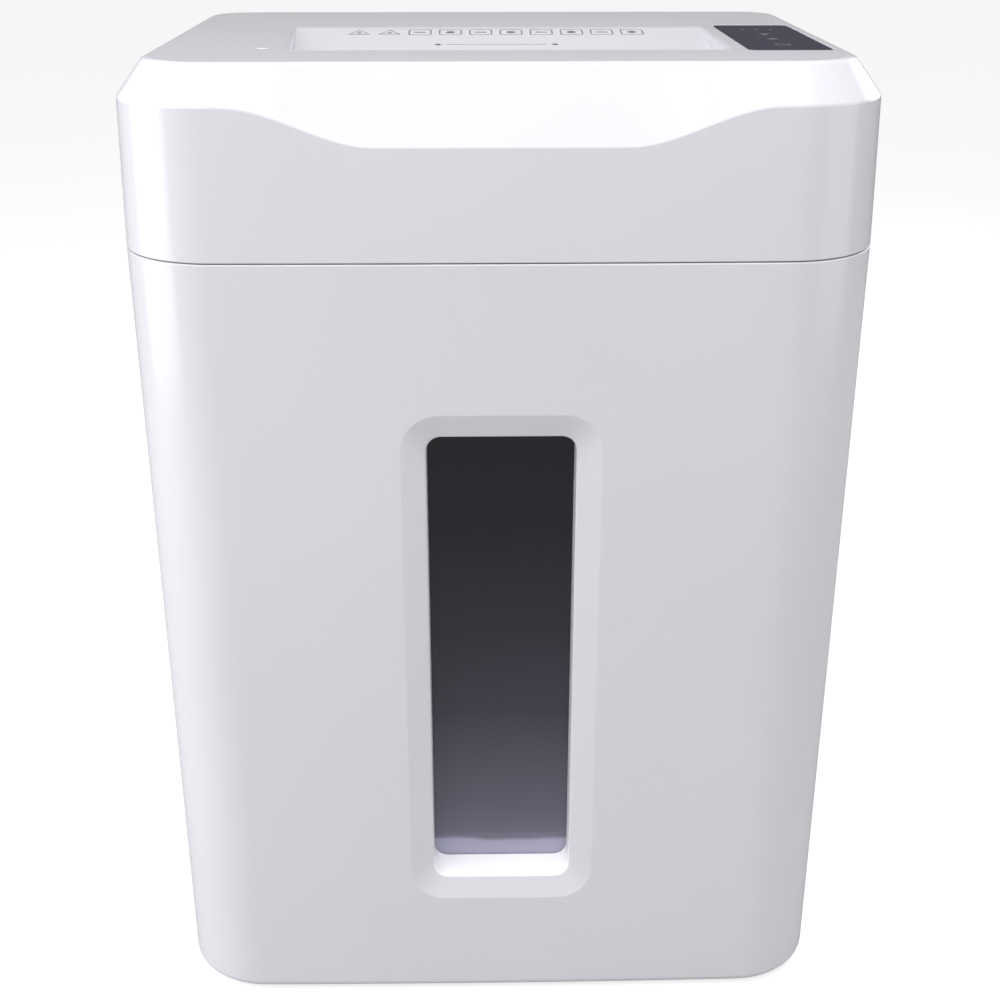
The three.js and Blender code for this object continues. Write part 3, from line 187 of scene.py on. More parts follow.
FRONT_STEPS = 20  # points round each front corner of the case
BACK_STEPS = 16
FLANK_STEPS = 12  # points along the front on each side of the patch


def lerp(a, b, t):
    return a + (b - a) * t


def spread(a, b, steps):
    """steps + 1 numbers from a to b."""
    return [lerp(a, b, i / steps) for i in range(steps + 1)]


def arc(centre, radius, start, end, steps):
    angles = [math.radians(angle) for angle in spread(start, end, steps)]
    return [(centre[0] + radius * math.cos(a), centre[1] + radius * math.sin(a)) for a in angles]


def rounded(points, radii, steps=5):
    """An open path through points with each inner corner rounded; every radius gives as many points."""
    path = [Vector(points[0])]
    for before, corner, after, radius in zip(points, points[1:], points[2:], radii):
        before, corner, after = Vector(before), Vector(corner), Vector(after)
        inward, outward = (before - corner).normalized(), (after - corner).normalized()
        half_angle = inward.angle(outward) / 2
        reach = radius / math.tan(half_angle)
        centre = corner + (inward + outward).normalized() * radius / math.sin(half_angle)
        first, last = corner + inward * reach - centre, corner + outward * reach - centre
        sweep = math.atan2(first.cross(last), first.dot(last))
        start = math.atan2(first.y, first.x)
        for angle in spread(start, start + sweep, steps):
            path.append(centre + Vector((math.cos(angle), math.sin(angle))) * radius)
    return path + [Vector(points[-1])]


def bow(x):
    """How far the front stands forward at x."""
    return FRONT_CROWN * (1 - (x / HALF_WIDTH) ** 2)


def case_outline(side, front=None, back=None):
    """The case from above, drawn in by side, front and back, from its left side round the front."""
    front = side if front is None else front
    back = side if back is None else back
    half = HALF_WIDTH - side
    front_y = -HALF_DEPTH + FRONT_CROWN + front
    back_y = HALF_DEPTH - back
    front_radius = max(FRONT_RADIUS - (side + front) / 2, LEAST_RADIUS)
    back_radius = max(BACK_RADIUS - (side + back) / 2, LEAST_RADIUS)
    corner_x, corner_back = half - front_radius, half - back_radius
    left = spread(-corner_x, -FIELD_HALF, FLANK_STEPS)[1:]
    middle = spread(-FIELD_HALF, FIELD_HALF, FIELD_COLUMNS)[1:]
    right = spread(FIELD_HALF, corner_x, FLANK_STEPS)[1:-1]
    points = arc((-corner_x, front_y + front_radius), front_radius, 180, 270, FRONT_STEPS)
    points += [(x, front_y) for x in left + middle + right]
    points += arc((corner_x, front_y + front_radius), front_radius, -90, 0, FRONT_STEPS)
    points += arc((corner_back, back_y - back_radius), back_radius, 0, 90, BACK_STEPS)
    points += [(x, back_y) for x in spread(corner_back, -corner_back, FLANK_STEPS)[1:-1]]
    points += arc((-corner_back, back_y - back_radius), back_radius, 90, 180, BACK_STEPS)
    return [(x, y - bow(x) if y < 0 else y) for x, y in points]


FIELD_START = FRONT_STEPS + FLANK_STEPS  # the outline's point at the field's left edge


def bin_draft(z):
    return BIN_DRAFT * (1 - (z - BIN_BOTTOM) / (SEAM_Z - BIN_BOTTOM))


def bin_front(x, z):
    return -HALF_DEPTH + FRONT_CROWN + bin_draft(z) - bow(x)


def add_rings(mesh, rings, skip=lambda row, column: False, inward=False, closed=True):
    """Quads between rings of equally many points; returns the rings' vertices."""
    made = [[mesh.verts.new(point) for point in ring] for ring in rings]
    count = len(made[0])
    for row, (lower, upper) in enumerate(zip(made, made[1:])):
        for column in range(count if closed else count - 1):
            if skip(row, column):
                continue
            after = (column + 1) % count
            quad = [lower[column], lower[after], upper[after], upper[column]]
            mesh.faces.new(reversed(quad) if inward else quad)
    return made


def add_sheet(mesh, loops, height, down=False, upright=False):
    """A face inside the first loop and outside the others, at height(x, y), or facing -Y at that depth."""
    points, edges = [], []
    for loop in loops:
        start = len(points)
        points += [Vector((p[0], p[1])) for p in loop]
        edges += [(start + i, start + (i + 1) % len(loop)) for i in range(len(loop))]
    flat, _, triangles, *_ = delaunay_2d_cdt(points, edges, [], 1, 1e-9)
    inside_of = [[(p[0], p[1]) for p in loop] for loop in loops]
    places = [(p.x, height(*p), p.y) if upright else (p.x, p.y, height(*p)) for p in flat]
    corners = [mesh.verts.new(place) for place in places]
    for triangle in triangles:
        middle = sum((flat[i] for i in triangle), Vector((0, 0))) / 3
        if encloses(inside_of[0], middle) and not any(encloses(loop, middle) for loop in inside_of[1:]):
            order = [corners[i] for i in triangle]
            mesh.faces.new(reversed(order) if down else order)


def encloses(loop, point):
    """Whether a flat loop of points goes round a point."""
    inside = False
    for (ax, ay), (bx, by) in zip(loop, loop[1:] + loop[:1]):
        if (ay > point.y) != (by > point.y) and point.x < ax + (bx - ax) * (point.y - ay) / (by - ay):
            inside = not inside
    return inside


def add_post(mesh, start, end, radius, sides=20):
    """A capped round post between two points, with softened ends."""
    axis = (Vector(end) - Vector(start)).normalized()
    across = axis.orthogonal().normalized()
    third = axis.cross(across)
    soft = min(0.4 * MM, radius / 3)
    length = (Vector(end) - Vector(start)).length
    stations = [(0, radius - soft), (soft, radius), (length - soft, radius), (length, radius - soft)]
    rings = [
        [
            Vector(start) + axis * along + (across * math.cos(a) + third * math.sin(a)) * wide
            for a in (2 * math.pi * i / sides for i in range(sides))
        ]
        for along, wide in stations
    ]
    made = add_rings(mesh, rings)
    mesh.faces.new(reversed(made[0]))
    mesh.faces.new(made[-1])


def piece(name, mesh, material, body, sharp=40, weld=1e-6):
    """The finished object: welded, shaded smooth up to an angle, given its material and its body."""
    bmesh.ops.remove_doubles(mesh, verts=mesh.verts, dist=weld)
    bmesh.ops.delete(mesh, geom=[v for v in mesh.verts if not v.link_faces], context="VERTS")
    bmesh.ops.recalc_face_normals(mesh, faces=mesh.faces)
    for face in mesh.faces:
        face.smooth = True
    for edge in mesh.edges:
        edge.smooth = edge.calc_face_angle(0) < math.radians(sharp)
    data = bpy.data.meshes.new(name)
    mesh.to_mesh(data)
    mesh.free()
    data.materials.append(material)
    obj = bpy.data.objects.new(name, data)
    bpy.context.scene.collection.objects.link(obj)
    obj.modifiers.new("even_shading", "WEIGHTED_NORMAL").keep_sharp = True
    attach(obj, body)
    return obj


def field_loop():
    """The (x, z) points round the front's patch, from its low left and along its bottom edge."""
    xs = spread(-FIELD_HALF, FIELD_HALF, FIELD_COLUMNS)
    zs = spread(FIELD_LOW, FIELD_HIGH, FIELD_ROWS)
    loop = [(x, FIELD_LOW) for x in xs[:-1]] + [(FIELD_HALF, z) for z in zs[:-1]]
    return loop + [(x, FIELD_HIGH) for x in xs[:0:-1]] + [(-FIELD_HALF, z) for z in zs[:0:-1]]


def window_loop(grow, radius):
    """The window's rounded outline, grown, with a point for each of the patch's."""
    half_x, half_z = WINDOW_HALF + grow, (WINDOW_HIGH - WINDOW_LOW) / 2 + grow
    middle_z = (WINDOW_HIGH + WINDOW_LOW) / 2
    field_z = (FIELD_HIGH + FIELD_LOW) / 2
    loop = []
    for x, z in field_loop():
        px = x / FIELD_HALF * half_x
        pz = (z - field_z) / ((FIELD_HIGH - FIELD_LOW) / 2) * half_z
        inner_x, inner_z = half_x - radius, half_z - radius
        if abs(px) > inner_x and abs(pz) > inner_z:
            centre = Vector((math.copysign(inner_x, px), math.copysign(inner_z, pz)))
            px, pz = centre + (Vector((px, pz)) - centre).normalized() * radius
        loop.append((px, pz + middle_z))
    return loop


def window_ring(grow, radius, depth):
    return [(x, bin_front(x, z) + depth, z) for x, z in window_loop(grow, radius)]


def field_ring(share, depth):
    """A ring between the patch's edge and the window's outline, lying on the front or under it."""
    pairs = zip(field_loop(), window_loop(WINDOW_EDGE, WINDOW_RADIUS + WINDOW_EDGE))
    points = [(lerp(a[0], b[0], share), lerp(a[1], b[1], share)) for a, b in pairs]
    return [(x, bin_front(x, z) + depth, z) for x, z in points]


def waste_bin():
    mesh = bmesh.new()
    rim = SEAM_Z - SEAM_GAP / 2
    rows = spread(FIELD_LOW, FIELD_HIGH, FIELD_ROWS)

    def wall(foot_z, edge):
        """One skin's (inset, height) pairs, from its bottom edge to just under the rim."""
        bend = [(edge * (1 - math.sin(a)), edge * (1 - math.cos(a))) for a in spread(0, math.pi / 2, 8)]
        low = [(side, foot_z + up) for side, up in bend]
        low += [(0, z) for z in spread(foot_z + edge, FIELD_LOW, 4)[1:-1]]
        high = [(0, z) for z in spread(FIELD_HIGH, rim - 1 * MM, 4)[1:]]
        return low + [(0, z) for z in rows] + high

    skins = ((0, BIN_BOTTOM, BIN_EDGE, False), (WALL, BIN_BOTTOM + WALL, BIN_EDGE_INSIDE, True))
    for inset, foot_z, edge, inward in skins:
        levels = wall(foot_z, edge)
        rings = [[(x, y, z) for x, y in case_outline(bin_draft(z) + inset + side)] for side, z in levels]
        first = levels.index((0, FIELD_LOW))
        patch_rows = range(first, first + FIELD_ROWS)
        patch_columns = range(FIELD_START, FIELD_START + FIELD_COLUMNS)
        add_rings(mesh, rings, lambda row, column: row in patch_rows and column in patch_columns, inward)
        add_sheet(mesh, [rings[0]], lambda x, y: foot_z, down=not inward)

    # The rim: both skins' tops, softened, and joined across.
    brim = rounded([(0, -1 * MM), (0, 0), (WALL, 0), (WALL, -1 * MM)], [RIM_EDGE, RIM_EDGE])
    rings = [[(x, y, rim + up) for x, y in case_outline(bin_draft(rim + up) + inset)] for inset, up in brim]
    add_rings(mesh, rings)

    # The front's patch round the window, its sloping border, the collar, and the collar's outside.
    profile = rounded(
        [
            (WINDOW_EDGE, 0),
            (0, 0),
            (-WINDOW_BORDER, WINDOW_BORDER_DEPTH),
            (-WINDOW_BORDER, REVEAL_DEPTH),
            (-WINDOW_BORDER + WALL, REVEAL_DEPTH),
            (-WINDOW_BORDER + WALL, WINDOW_BORDER_DEPTH + WALL),
            (WINDOW_EDGE, WALL),
        ],
        [BORDER_OUTER_EDGE, BORDER_INNER_EDGE, COLLAR_EDGE, COLLAR_EDGE, COLLAR_EDGE],
    )
    rings = [field_ring(share, 0) for share in spread(0, 1, FIELD_RINGS)[:-1]]
    for grow, depth in profile:
        share = min(max(-grow / WINDOW_BORDER, 0), 1)
        radius = lerp(WINDOW_RADIUS + max(grow, 0), REVEAL_RADIUS, share)
        rings.append(window_ring(grow, radius, depth))
    rings += [field_ring(share, WALL) for share in spread(1, 0, FIELD_RINGS)[1:]]
    add_rings(mesh, rings)

    # The faces of the recess behind the border take the second material, painted whiter as painted light.
    for face in mesh.faces:
        middle = face.calc_center_median()
        depth = middle.y - bin_front(middle.x, middle.z)
        if REVEAL_NEAR < depth < REVEAL_FAR and abs(middle.x) < REVEAL_REACH:
            face.material_index = int(REVEAL_LOW < middle.z < REVEAL_HIGH)

    # The collar's screw bosses, and the peg on its arm from the back wall.
    for x in (-1, 1):
        for z in (WINDOW_LOW + BOSS_RISE, WINDOW_HIGH - BOSS_RISE):
            boss = Vector((x * BOSS_X, bin_front(0, z), z))
            start, end = Vector((0, WINDOW_BORDER_DEPTH, 0)), Vector((0, BOSS_END, 0))
            add_post(mesh, boss + start, boss + end, BOSS_RADIUS)
    add_post(mesh, (PEG_X, PEG_Y, PEG_FOOT), (PEG_X, PEG_Y, PEG_TOP), PEG_RADIUS)
    arm_end = (PEG_X, HALF_DEPTH - WALL / 2, PEG_ARM_Z)
    add_post(mesh, (PEG_X, PEG_Y, PEG_ARM_Z), arm_end, PEG_ARM_RADIUS)
    return mesh


# Painted light: the collar's inside is painted whiter than the case, as if lit from above.
reveal_painted_light = moulded("reveal_painted_light", (0.88, 0.88, 0.90), (0.92, 0.92, 0.94), (0.16, 0.22))
bin_shell = piece("bin_shell", waste_bin(), case_white, "bin")
bin_shell.data.materials.append(reveal_painted_light)
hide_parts("waste_bin")

# ---------------------------------------------------------------- smoked window
# A 2.5 mm sheet of smoked acrylic, slightly larger than the opening, that lies against the back of the
# collar. A black frame with four screwed ears clamps it there.

PANE_FRONT = REVEAL_DEPTH + 0.3 * MM
PANE_THICKNESS = 2.5 * MM
PANE_LAP = 4.5 * MM  # how far the pane reaches behind the collar
PANE_EDGE = 0.4 * MM


def window_pane():
    mesh = bmesh.new()
    grow = -WINDOW_BORDER + PANE_LAP
    inner = grow - 2 * MM
    corners = [(inner, 0), (grow, 0), (grow, PANE_THICKNESS), (inner, PANE_THICKNESS)]
    edge = rounded(corners, [PANE_EDGE] * 2, 3)
    add_rings(mesh, [window_ring(g, REVEAL_RADIUS, PANE_FRONT + d) for g, d in edge])
    outline = window_loop(inner, REVEAL_RADIUS)
    for depth in (PANE_FRONT, PANE_FRONT + PANE_THICKNESS):
        add_sheet(mesh, [outline], lambda x, z: bin_front(x, z) + depth, upright=True)
    return mesh


# Heights in mm and the painted reflection's tone there. The pale band at the bottom is the ledge's painted
# reflection.
PANE_REFLECTION_TONES = ((80, 0.42), (97, 0.32), (99.5, 0.135), (122, 0.1), (185, 0.033), (236, 0.014), (300, 0.001))
PANE_REFLECTION_WANDER = 0.06  # how far the painted reflection's levels wander, as a share of its height


def smoked_material():
    """Polished and nearly black, with a painted reflection: a pale band of the ledge at the bottom,
    darkening upwards.
    """
    material, tree, shader = new_material("smoked_clear")
    shader.inputs["IOR"].default_value = 1.49
    surface = tree.nodes.new("ShaderNodeGroup")
    surface.node_tree = MOULDED
    surface.inputs["Tone Size"].default_value = 14.0
    where = tree.nodes.new("ShaderNodeTexCoord")
    split = tree.nodes.new("ShaderNodeSeparateXYZ")
    tree.links.new(where.outputs["Object"], split.inputs["Vector"])
    rise = tree.nodes.new("ShaderNodeMapRange")
    rise.inputs["From Min"].default_value = PANE_REFLECTION_TONES[0][0] * MM
    rise.inputs["From Max"].default_value = PANE_REFLECTION_TONES[-1][0] * MM
    tree.links.new(split.outputs["Z"], rise.inputs["Value"])
    patchy = tree.nodes.new("ShaderNodeMath")
    patchy.operation = "MULTIPLY_ADD"
    patchy.inputs[1].default_value = PANE_REFLECTION_WANDER
    tree.links.new(surface.outputs["Tone"], patchy.inputs[0])
    tree.links.new(rise.outputs["Result"], patchy.inputs[2])
    # The ramp paints the pane's reflection: pale at the bottom where the ledge is mirrored, darkening
    # upwards.
    ramp = tree.nodes.new("ShaderNodeValToRGB")
    stops = ramp.color_ramp.elements
    for i, (up, tone) in enumerate(PANE_REFLECTION_TONES):
        share = (up - PANE_REFLECTION_TONES[0][0]) / (PANE_REFLECTION_TONES[-1][0] - PANE_REFLECTION_TONES[0][0])
        stop = {0: stops[0], len(PANE_REFLECTION_TONES) - 1: stops[-1]}.get(i) or stops.new(share)
        stop.color = (tone, tone * 0.98, tone * 1.28 + 0.006, 1)
    tree.links.new(patchy.outputs["Value"], ramp.inputs["Fac"])
    tree.links.new(ramp.outputs["Color"], shader.inputs["Base Color"])
    gloss = tree.nodes.new("ShaderNodeMapRange")
    gloss.inputs["To Min"].default_value, gloss.inputs["To Max"].default_value = 0.03, 0.08
    tree.links.new(surface.outputs["Speckle"], gloss.inputs["Value"])
    tree.links.new(gloss.outputs["Result"], shader.inputs["Roughness"])
    return material


pane = piece("smoked_pane", window_pane(), smoked_material(), "bin")
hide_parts("window_pane")

# ---------------------------------------------------------------- head cover
# One white moulding. Its sloping shoulder dips in the middle of the front. Its flat top has the feed
# recess, whose floor runs down to the slot, and shallow pockets for the touch panel and the lamp.

HEAD_DRAFT = 1.5 * MM
SHOULDER_DROP = 18.5 * MM
SHOULDER_SIDE = 14 * MM
SHOULDER_FRONT = 16 * MM
SHOULDER_LOW_EDGE = 3 * MM
SHOULDER_HIGH_EDGE = 6 * MM
SKIRT_EDGE = 0.6 * MM
SCOOP_DROP = 19 * MM
SCOOP_INNER = 61 * MM
SCOOP_OUTER = 133 * MM
CEILING_Z = HEIGHT - 3.5 * MM  # the underside of the flat top
panel_low, panel_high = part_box("touch_panel")
PANEL_RADIUS = 4 * MM
SLOT_Y = -HALF_DEPTH + 82.5 * MM
SLOT_GAP = 6 * MM
SLOT_RADIUS = 1.5 * MM
SLOT_EDGE = 1.4 * MM
SLOT_LEFT = -0.2715 * 2 * HALF_WIDTH
SLOT_RIGHT = 0.3003 * 2 * HALF_WIDTH
RECESS_LEFT_FRONT = SLOT_LEFT - 2.5 * MM
RECESS_LEFT_BACK = SLOT_LEFT - 11.5 * MM
RECESS_RIGHT = SLOT_RIGHT + 3 * MM
RECESS_FRONT = SLOT_Y - 12.5 * MM
RECESS_BACK = SLOT_Y + 110.5 * MM
RECESS_RADIUS = 4 * MM
RECESS_FALL = math.tan(math.radians(7))
RECESS_EDGE = 1.6 * MM  # less where the recess runs out at the back
LIP_RUN = 7 * MM  # how far the front wall leans in towards the slot
THROAT_WALL = 3.5 * MM  # under the recess's floor and round its walls
THROAT_RADIUS = 7 * MM
LAMP_X = SLOT_LEFT - 16.6 * MM
LAMP_Y = RECESS_FRONT + 7.2 * MM
LAMP_RADIUS = 3 * MM
FIT_GAP = 0.3 * MM  # round each part that is let into the cover
PANEL_POCKET_Z = HEIGHT - 2.2 * MM
LAMP_POCKET_Z = HEIGHT - 1.5 * MM


def smooth_step(t):
    t = min(max(t, 0), 1)
    return t * t * (3 - 2 * t)


def shoulder_z(x, y):
    if y > 0:
        return HEIGHT - SHOULDER_DROP
    dip = smooth_step((SCOOP_OUTER - abs(x)) / (SCOOP_OUTER - SCOOP_INNER))
    return HEIGHT - SHOULDER_DROP - SCOOP_DROP * dip


def recess_floor(x, y):
    return HEIGHT - (RECESS_BACK - y) * RECESS_FALL


def recess_outline(grow, corner=RECESS_RADIUS):
    """The recess from above, from its back left corner round the front to its back right one."""
    path = rounded(
        [
            (RECESS_LEFT_BACK - grow, RECESS_BACK),
            (RECESS_LEFT_FRONT - grow, RECESS_FRONT - grow),
            (RECESS_RIGHT + grow, RECESS_FRONT - grow),
            (RECESS_RIGHT + grow, RECESS_BACK),
        ],
        [corner, corner],
        8,
    )
    dense = []
    for start, end in zip(path, path[1:]):
        steps = max(1, round((end - start).length / (6 * MM)))
        dense += [start.lerp(end, i / steps) for i in range(steps)]
    return dense + [path[-1]]


def recess_walls():
    """Open rings down the recess: its softened edge on the flat top, its walls, and its floor's edge."""
    outline = recess_outline(0)
    ends = [outline[0], *outline, outline[-1]]
    normals = []
    for before, after in zip(ends, ends[2:]):
        along = (after - before).normalized()
        normals.append(Vector((along.y, -along.x)))
    bends = [min(RECESS_EDGE, (HEIGHT - recess_floor(*at)) * 0.45) for at in outline]
    rings = []
    for angle in spread(0, math.pi / 2, 5):
        out, down = 1 - math.sin(angle), 1 - math.cos(angle)
        spots = [at + normal * bend * out for at, normal, bend in zip(outline, normals, bends)]
        rings.append([(spot.x, spot.y, HEIGHT - bend * down) for spot, bend in zip(spots, bends)])
    leans = [LIP_RUN * max(0, -normal.y - 0.2) for normal in normals]
    feet = [at - normal * lean for at, normal, lean in zip(outline, normals, leans)]
    rings.append([(foot.x, foot.y, recess_floor(*foot)) for foot in feet])
    return rings


def rounded_rectangle(x0, x1, y0, y1, radius, steps=6):
    points = arc((x1 - radius, y0 + radius), radius, -90, 0, steps)
    points += arc((x1 - radius, y1 - radius), radius, 0, 90, steps)
    points += arc((x0 + radius, y1 - radius), radius, 90, 180, steps)
    return points + arc((x0 + radius, y0 + radius), radius, 180, 270, steps)


def slot_outline(grow):
    ends = (SLOT_LEFT - grow, SLOT_RIGHT + grow)
    lips = (SLOT_Y - SLOT_GAP / 2 - grow, SLOT_Y + SLOT_GAP / 2 + grow)
    return rounded_rectangle(*ends, *lips, SLOT_RADIUS + grow)


def panel_outline(grow):
    gap = FIT_GAP + grow
    ends = (panel_low.x - gap, panel_high.x + gap)
    return rounded_rectangle(*ends, panel_low.y - gap, panel_high.y + gap, PANEL_RADIUS + gap)


def lamp_outline(grow):
    return arc((LAMP_X, LAMP_Y), LAMP_RADIUS + FIT_GAP + grow, 0, 360, 32)[:-1]


def quarter_round(soft, steps=4):
    """Pairs of how far out and how far down a softened edge is, from the flat to the wall."""
    return [(soft * (1 - math.sin(a)), soft * (1 - math.cos(a))) for a in spread(0, math.pi / 2, steps)]


def add_pocket(mesh, outline_at, soft, floor_z):
    """A pocket in the flat top with a softened edge; returns its edge on the top."""
    rings = [[(x, y, HEIGHT - down) for x, y in outline_at(grow)] for grow, down in quarter_round(soft)]
    rings.append([(x, y, floor_z) for x, y in outline_at(0)])
    add_rings(mesh, rings, inward=True)
    add_sheet(mesh, [rings[-1]], lambda x, y: floor_z)
    return rings[0]


def case_level(inset, z):
    return [(x, y, z(x, y) if callable(z) else z) for x, y in case_outline(*inset)]


def head_outside(base):
    """Rings up the outside: the wall, the shoulder's lower edge, its slope, and over on to the top."""
    seam, bends = case_outline(0), case_outline(HEAD_DRAFT)
    tops = case_outline(HEAD_DRAFT + SHOULDER_SIDE, HEAD_DRAFT + SHOULDER_FRONT)
    columns = []
    for low, bend, high in zip(seam, bends, tops):
        low, bend, high = Vector((*low, base)), Vector((*bend, shoulder_z(*bend))), Vector((*high, HEIGHT))
        run = (high.xy - bend.xy).length
        inward = (high.xy - bend.xy) / run
        corners = [(0, low.z), (0, bend.z), (run, HEIGHT), (run + 8 * MM, HEIGHT)]
        path = rounded(corners, [SHOULDER_LOW_EDGE, SHOULDER_HIGH_EDGE], 7)
        column = [low.lerp(bend, share) for share in spread(0.01, 0.9, 8)]
        for step in path[1:-1]:
            draft = (bend.xy - low.xy) * min((step.y - bend.z) / (bend.z - base), 0)
            at = bend.xy + inward * step.x + draft
            column.append(Vector((at.x, at.y, step.y)))
        columns.append(column)
    return [list(ring) for ring in zip(*columns)]


def head_cover():
    mesh = bmesh.new()
    base = SEAM_Z + SEAM_GAP / 2
    outside = head_outside(base)
    brim = rounded([(WALL, 8 * MM), (WALL, 0), (0, 0), (0, 3 * MM)], [SKIRT_EDGE, SKIRT_EDGE], 4)
    under_top = HEAD_DRAFT + SHOULDER_SIDE + WALL - 0.5 * MM
    inside = [
        case_level((under_top, under_top + SHOULDER_FRONT - SHOULDER_SIDE), CEILING_Z),
        case_level((HEAD_DRAFT + WALL,), lambda x, y: shoulder_z(x, y) - 1.5 * MM),
    ]
    inside += [case_level((inset,), base + up) for inset, up in brim[:-1]]
    add_rings(mesh, inside + outside)

    # The flat top, cut round the recess, the panel's pocket and the lamp's, and the ceiling under it.
    walls = recess_walls()
    panel = add_pocket(mesh, panel_outline, 0.4 * MM, PANEL_POCKET_Z)
    lamp = add_pocket(mesh, lamp_outline, 0.3 * MM, LAMP_POCKET_Z)
    add_sheet(mesh, [outside[-1], walls[0], panel, lamp], lambda x, y: HEIGHT)
    throat = [(x, y, CEILING_Z) for x, y in recess_outline(THROAT_WALL, THROAT_RADIUS)]
    throat_foot = [(x, y, recess_floor(x, y) - THROAT_WALL) for x, y, _ in throat]
    add_sheet(mesh, [inside[0], throat], lambda x, y: CEILING_Z, down=True)
    add_rings(mesh, [throat, throat_foot], inward=True, closed=False)

    # The recess's walls, and its sloping floor with the slot through it.
    add_rings(mesh, walls, inward=True, closed=False)
    lips = [*quarter_round(SLOT_EDGE, 5), (0, THROAT_WALL)]
    slot = [[(x, y, recess_floor(x, y) - down) for x, y in slot_outline(grow)] for grow, down in lips]
    add_rings(mesh, slot, inward=True)
    add_sheet(mesh, [walls[-1], slot[0]], recess_floor)
    add_sheet(mesh, [throat_foot, slot[-1]], lambda x, y: recess_floor(x, y) - THROAT_WALL, down=True)
    return mesh


VENT_X = 0.157 * 2 * HALF_WIDTH
VENT_COUNT = 9
VENT_PITCH = 9 * MM
VENT_WIDTH = 3.2 * MM
VENT_HEIGHT = 34 * MM
VENT_RADIUS = 1.55 * MM
REAR_Z = SEAM_Z + 37 * MM  # the middle of the inlet, the switch and the vents
inlet_low, inlet_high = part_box("power_inlet")
frame_low, frame_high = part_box("power_switch_frame")
FLANGE = 1.5 * MM  # the thickness of the fittings' flanges
FLANGE_RIM = 2 * MM  # how far they reach past the opening
FLANGE_RADIUS = 2 * MM


def rear_block(mesh, x0, x1, z0, z1, front, back, radius):
    """A block through the back wall, with its four long edges rounded."""
    outline = rounded_rectangle(x0, x1, z0, z1, radius, 5)
    made = add_rings(mesh, [[(x, y, z) for x, z in outline] for y in (front, back)])
    mesh.faces.new(made[0])
    mesh.faces.new(reversed(made[-1]))


def rear_cuts():
    mesh = bmesh.new()
    inside, outside = HALF_DEPTH - 12 * MM, HALF_DEPTH + 5 * MM
    heights = (REAR_Z - VENT_HEIGHT / 2, REAR_Z + VENT_HEIGHT / 2)
    for i in range(VENT_COUNT):
        x = VENT_X + (i - (VENT_COUNT - 1) / 2) * VENT_PITCH
        rear_block(mesh, x - VENT_WIDTH / 2, x + VENT_WIDTH / 2, *heights, inside, outside, VENT_RADIUS)
    gap, rim = FIT_GAP, FLANGE_RIM
    for low, high in ((inlet_low, inlet_high), (frame_low, frame_high)):
        step = high.y - FLANGE - gap
        sides = (low.x - gap, high.x + gap, low.z - gap, high.z + gap)
        rear_block(mesh, *sides, step, outside, FLANGE_RADIUS + gap)
        sides = (low.x + rim, high.x - rim, low.z + rim, high.z - rim)
        rear_block(mesh, *sides, inside, step + 1 * MM, 1 * MM)
    return mesh


def cut_away(obj, mesh):
    """Takes a closed shape out of a finished piece, which keeps its shading modifier."""
    bmesh.ops.recalc_face_normals(mesh, faces=mesh.faces)
    data = bpy.data.meshes.new("cutter")
    mesh.to_mesh(data)
    mesh.free()
    cutter = bpy.data.objects.new("cutter", data)
    bpy.context.scene.collection.objects.link(cutter)
    cut = obj.modifiers.new("cut", "BOOLEAN")
    cut.operation = "DIFFERENCE"
    cut.solver = "EXACT"
    cut.use_self = True
    cut.object = cutter
    obj.modifiers["even_shading"].show_viewport = False
    graph = bpy.context.evaluated_depsgraph_get()
    obj.data = bpy.data.meshes.new_from_object(obj.evaluated_get(graph))
    obj.modifiers["even_shading"].show_viewport = True
    obj.modifiers.remove(cut)
    bpy.data.objects.remove(cutter)


cover = piece("head_cover", head_cover(), case_white, "head", sharp=35)
cut_away(cover, rear_cuts())
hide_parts("top_cover")

# ---------------------------------------------------------------- touch panel
# A dark acrylic slab let into the top, to the right of the recess. Its keys are touched, and are shown by
# plain marks printed on it: a ring, two arrows and three small lamps.

panel_black = moulded("panel_black", (0.026, 0.023, 0.043), (0.034, 0.031, 0.054), (0.10, 0.16), bump=0.006)
panel_black.node_tree.nodes["Principled BSDF"].inputs["Specular IOR Level"].default_value = 0.02
mark_grey = moulded("mark_grey", (0.10, 0.10, 0.12), (0.16, 0.16, 0.19), (0.35, 0.5), bump=0.01)


def slab(outline_at, top, foot, soft):
    """A flat piece with a softened top edge, from outline_at(grow)."""
    mesh = bmesh.new()
    rings = [[(x, y, foot) for x, y in outline_at(0)]]
    for out, fall in quarter_round(soft)[::-1]:
        rings.append([(x, y, top - fall) for x, y in outline_at(out - soft)])
    add_rings(mesh, rings)
    add_sheet(mesh, [rings[-1]], lambda x, y: top)
    add_sheet(mesh, [rings[0]], lambda x, y: foot, down=True)
    return mesh


PANEL_TOP = HEIGHT - 0.1 * MM
PANEL_FOOT = HEIGHT - 1.9 * MM
LET_IN_EDGE = 0.5 * MM
panel_slab = slab(lambda grow: panel_outline(grow - FIT_GAP), PANEL_TOP, PANEL_FOOT, LET_IN_EDGE)
touch = piece("touch_panel_slab", panel_slab, panel_black, "head")
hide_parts("touch_panel")

# ---------------------------------------------------------------- status lamp
# A diffusing white lens 6 mm across, moulded in acrylic and pressed in flush beside the recess. It shows
# whether the machine is on.

lamp_white = moulded("lamp_white", (0.70, 0.70, 0.74), (0.80, 0.80, 0.84), (0.30, 0.42), bump=0.01)
LENS_FOOT = HEIGHT - 1.2 * MM
lens_slab = slab(lambda grow: lamp_outline(grow - FIT_GAP), HEIGHT, LENS_FOOT, LET_IN_EDGE)
lens = piece("lamp_lens", lens_slab, lamp_white, "head")
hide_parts("status_lamp")

# ---------------------------------------------------------------- printed marks
# Pad-printed grey marks: two dots and a line for a small sheet's width, and a row of plain care marks, on
# the recess's sloping floor. The ink stands a few hundredths of a millimetre proud.

INK = 0.05 * MM


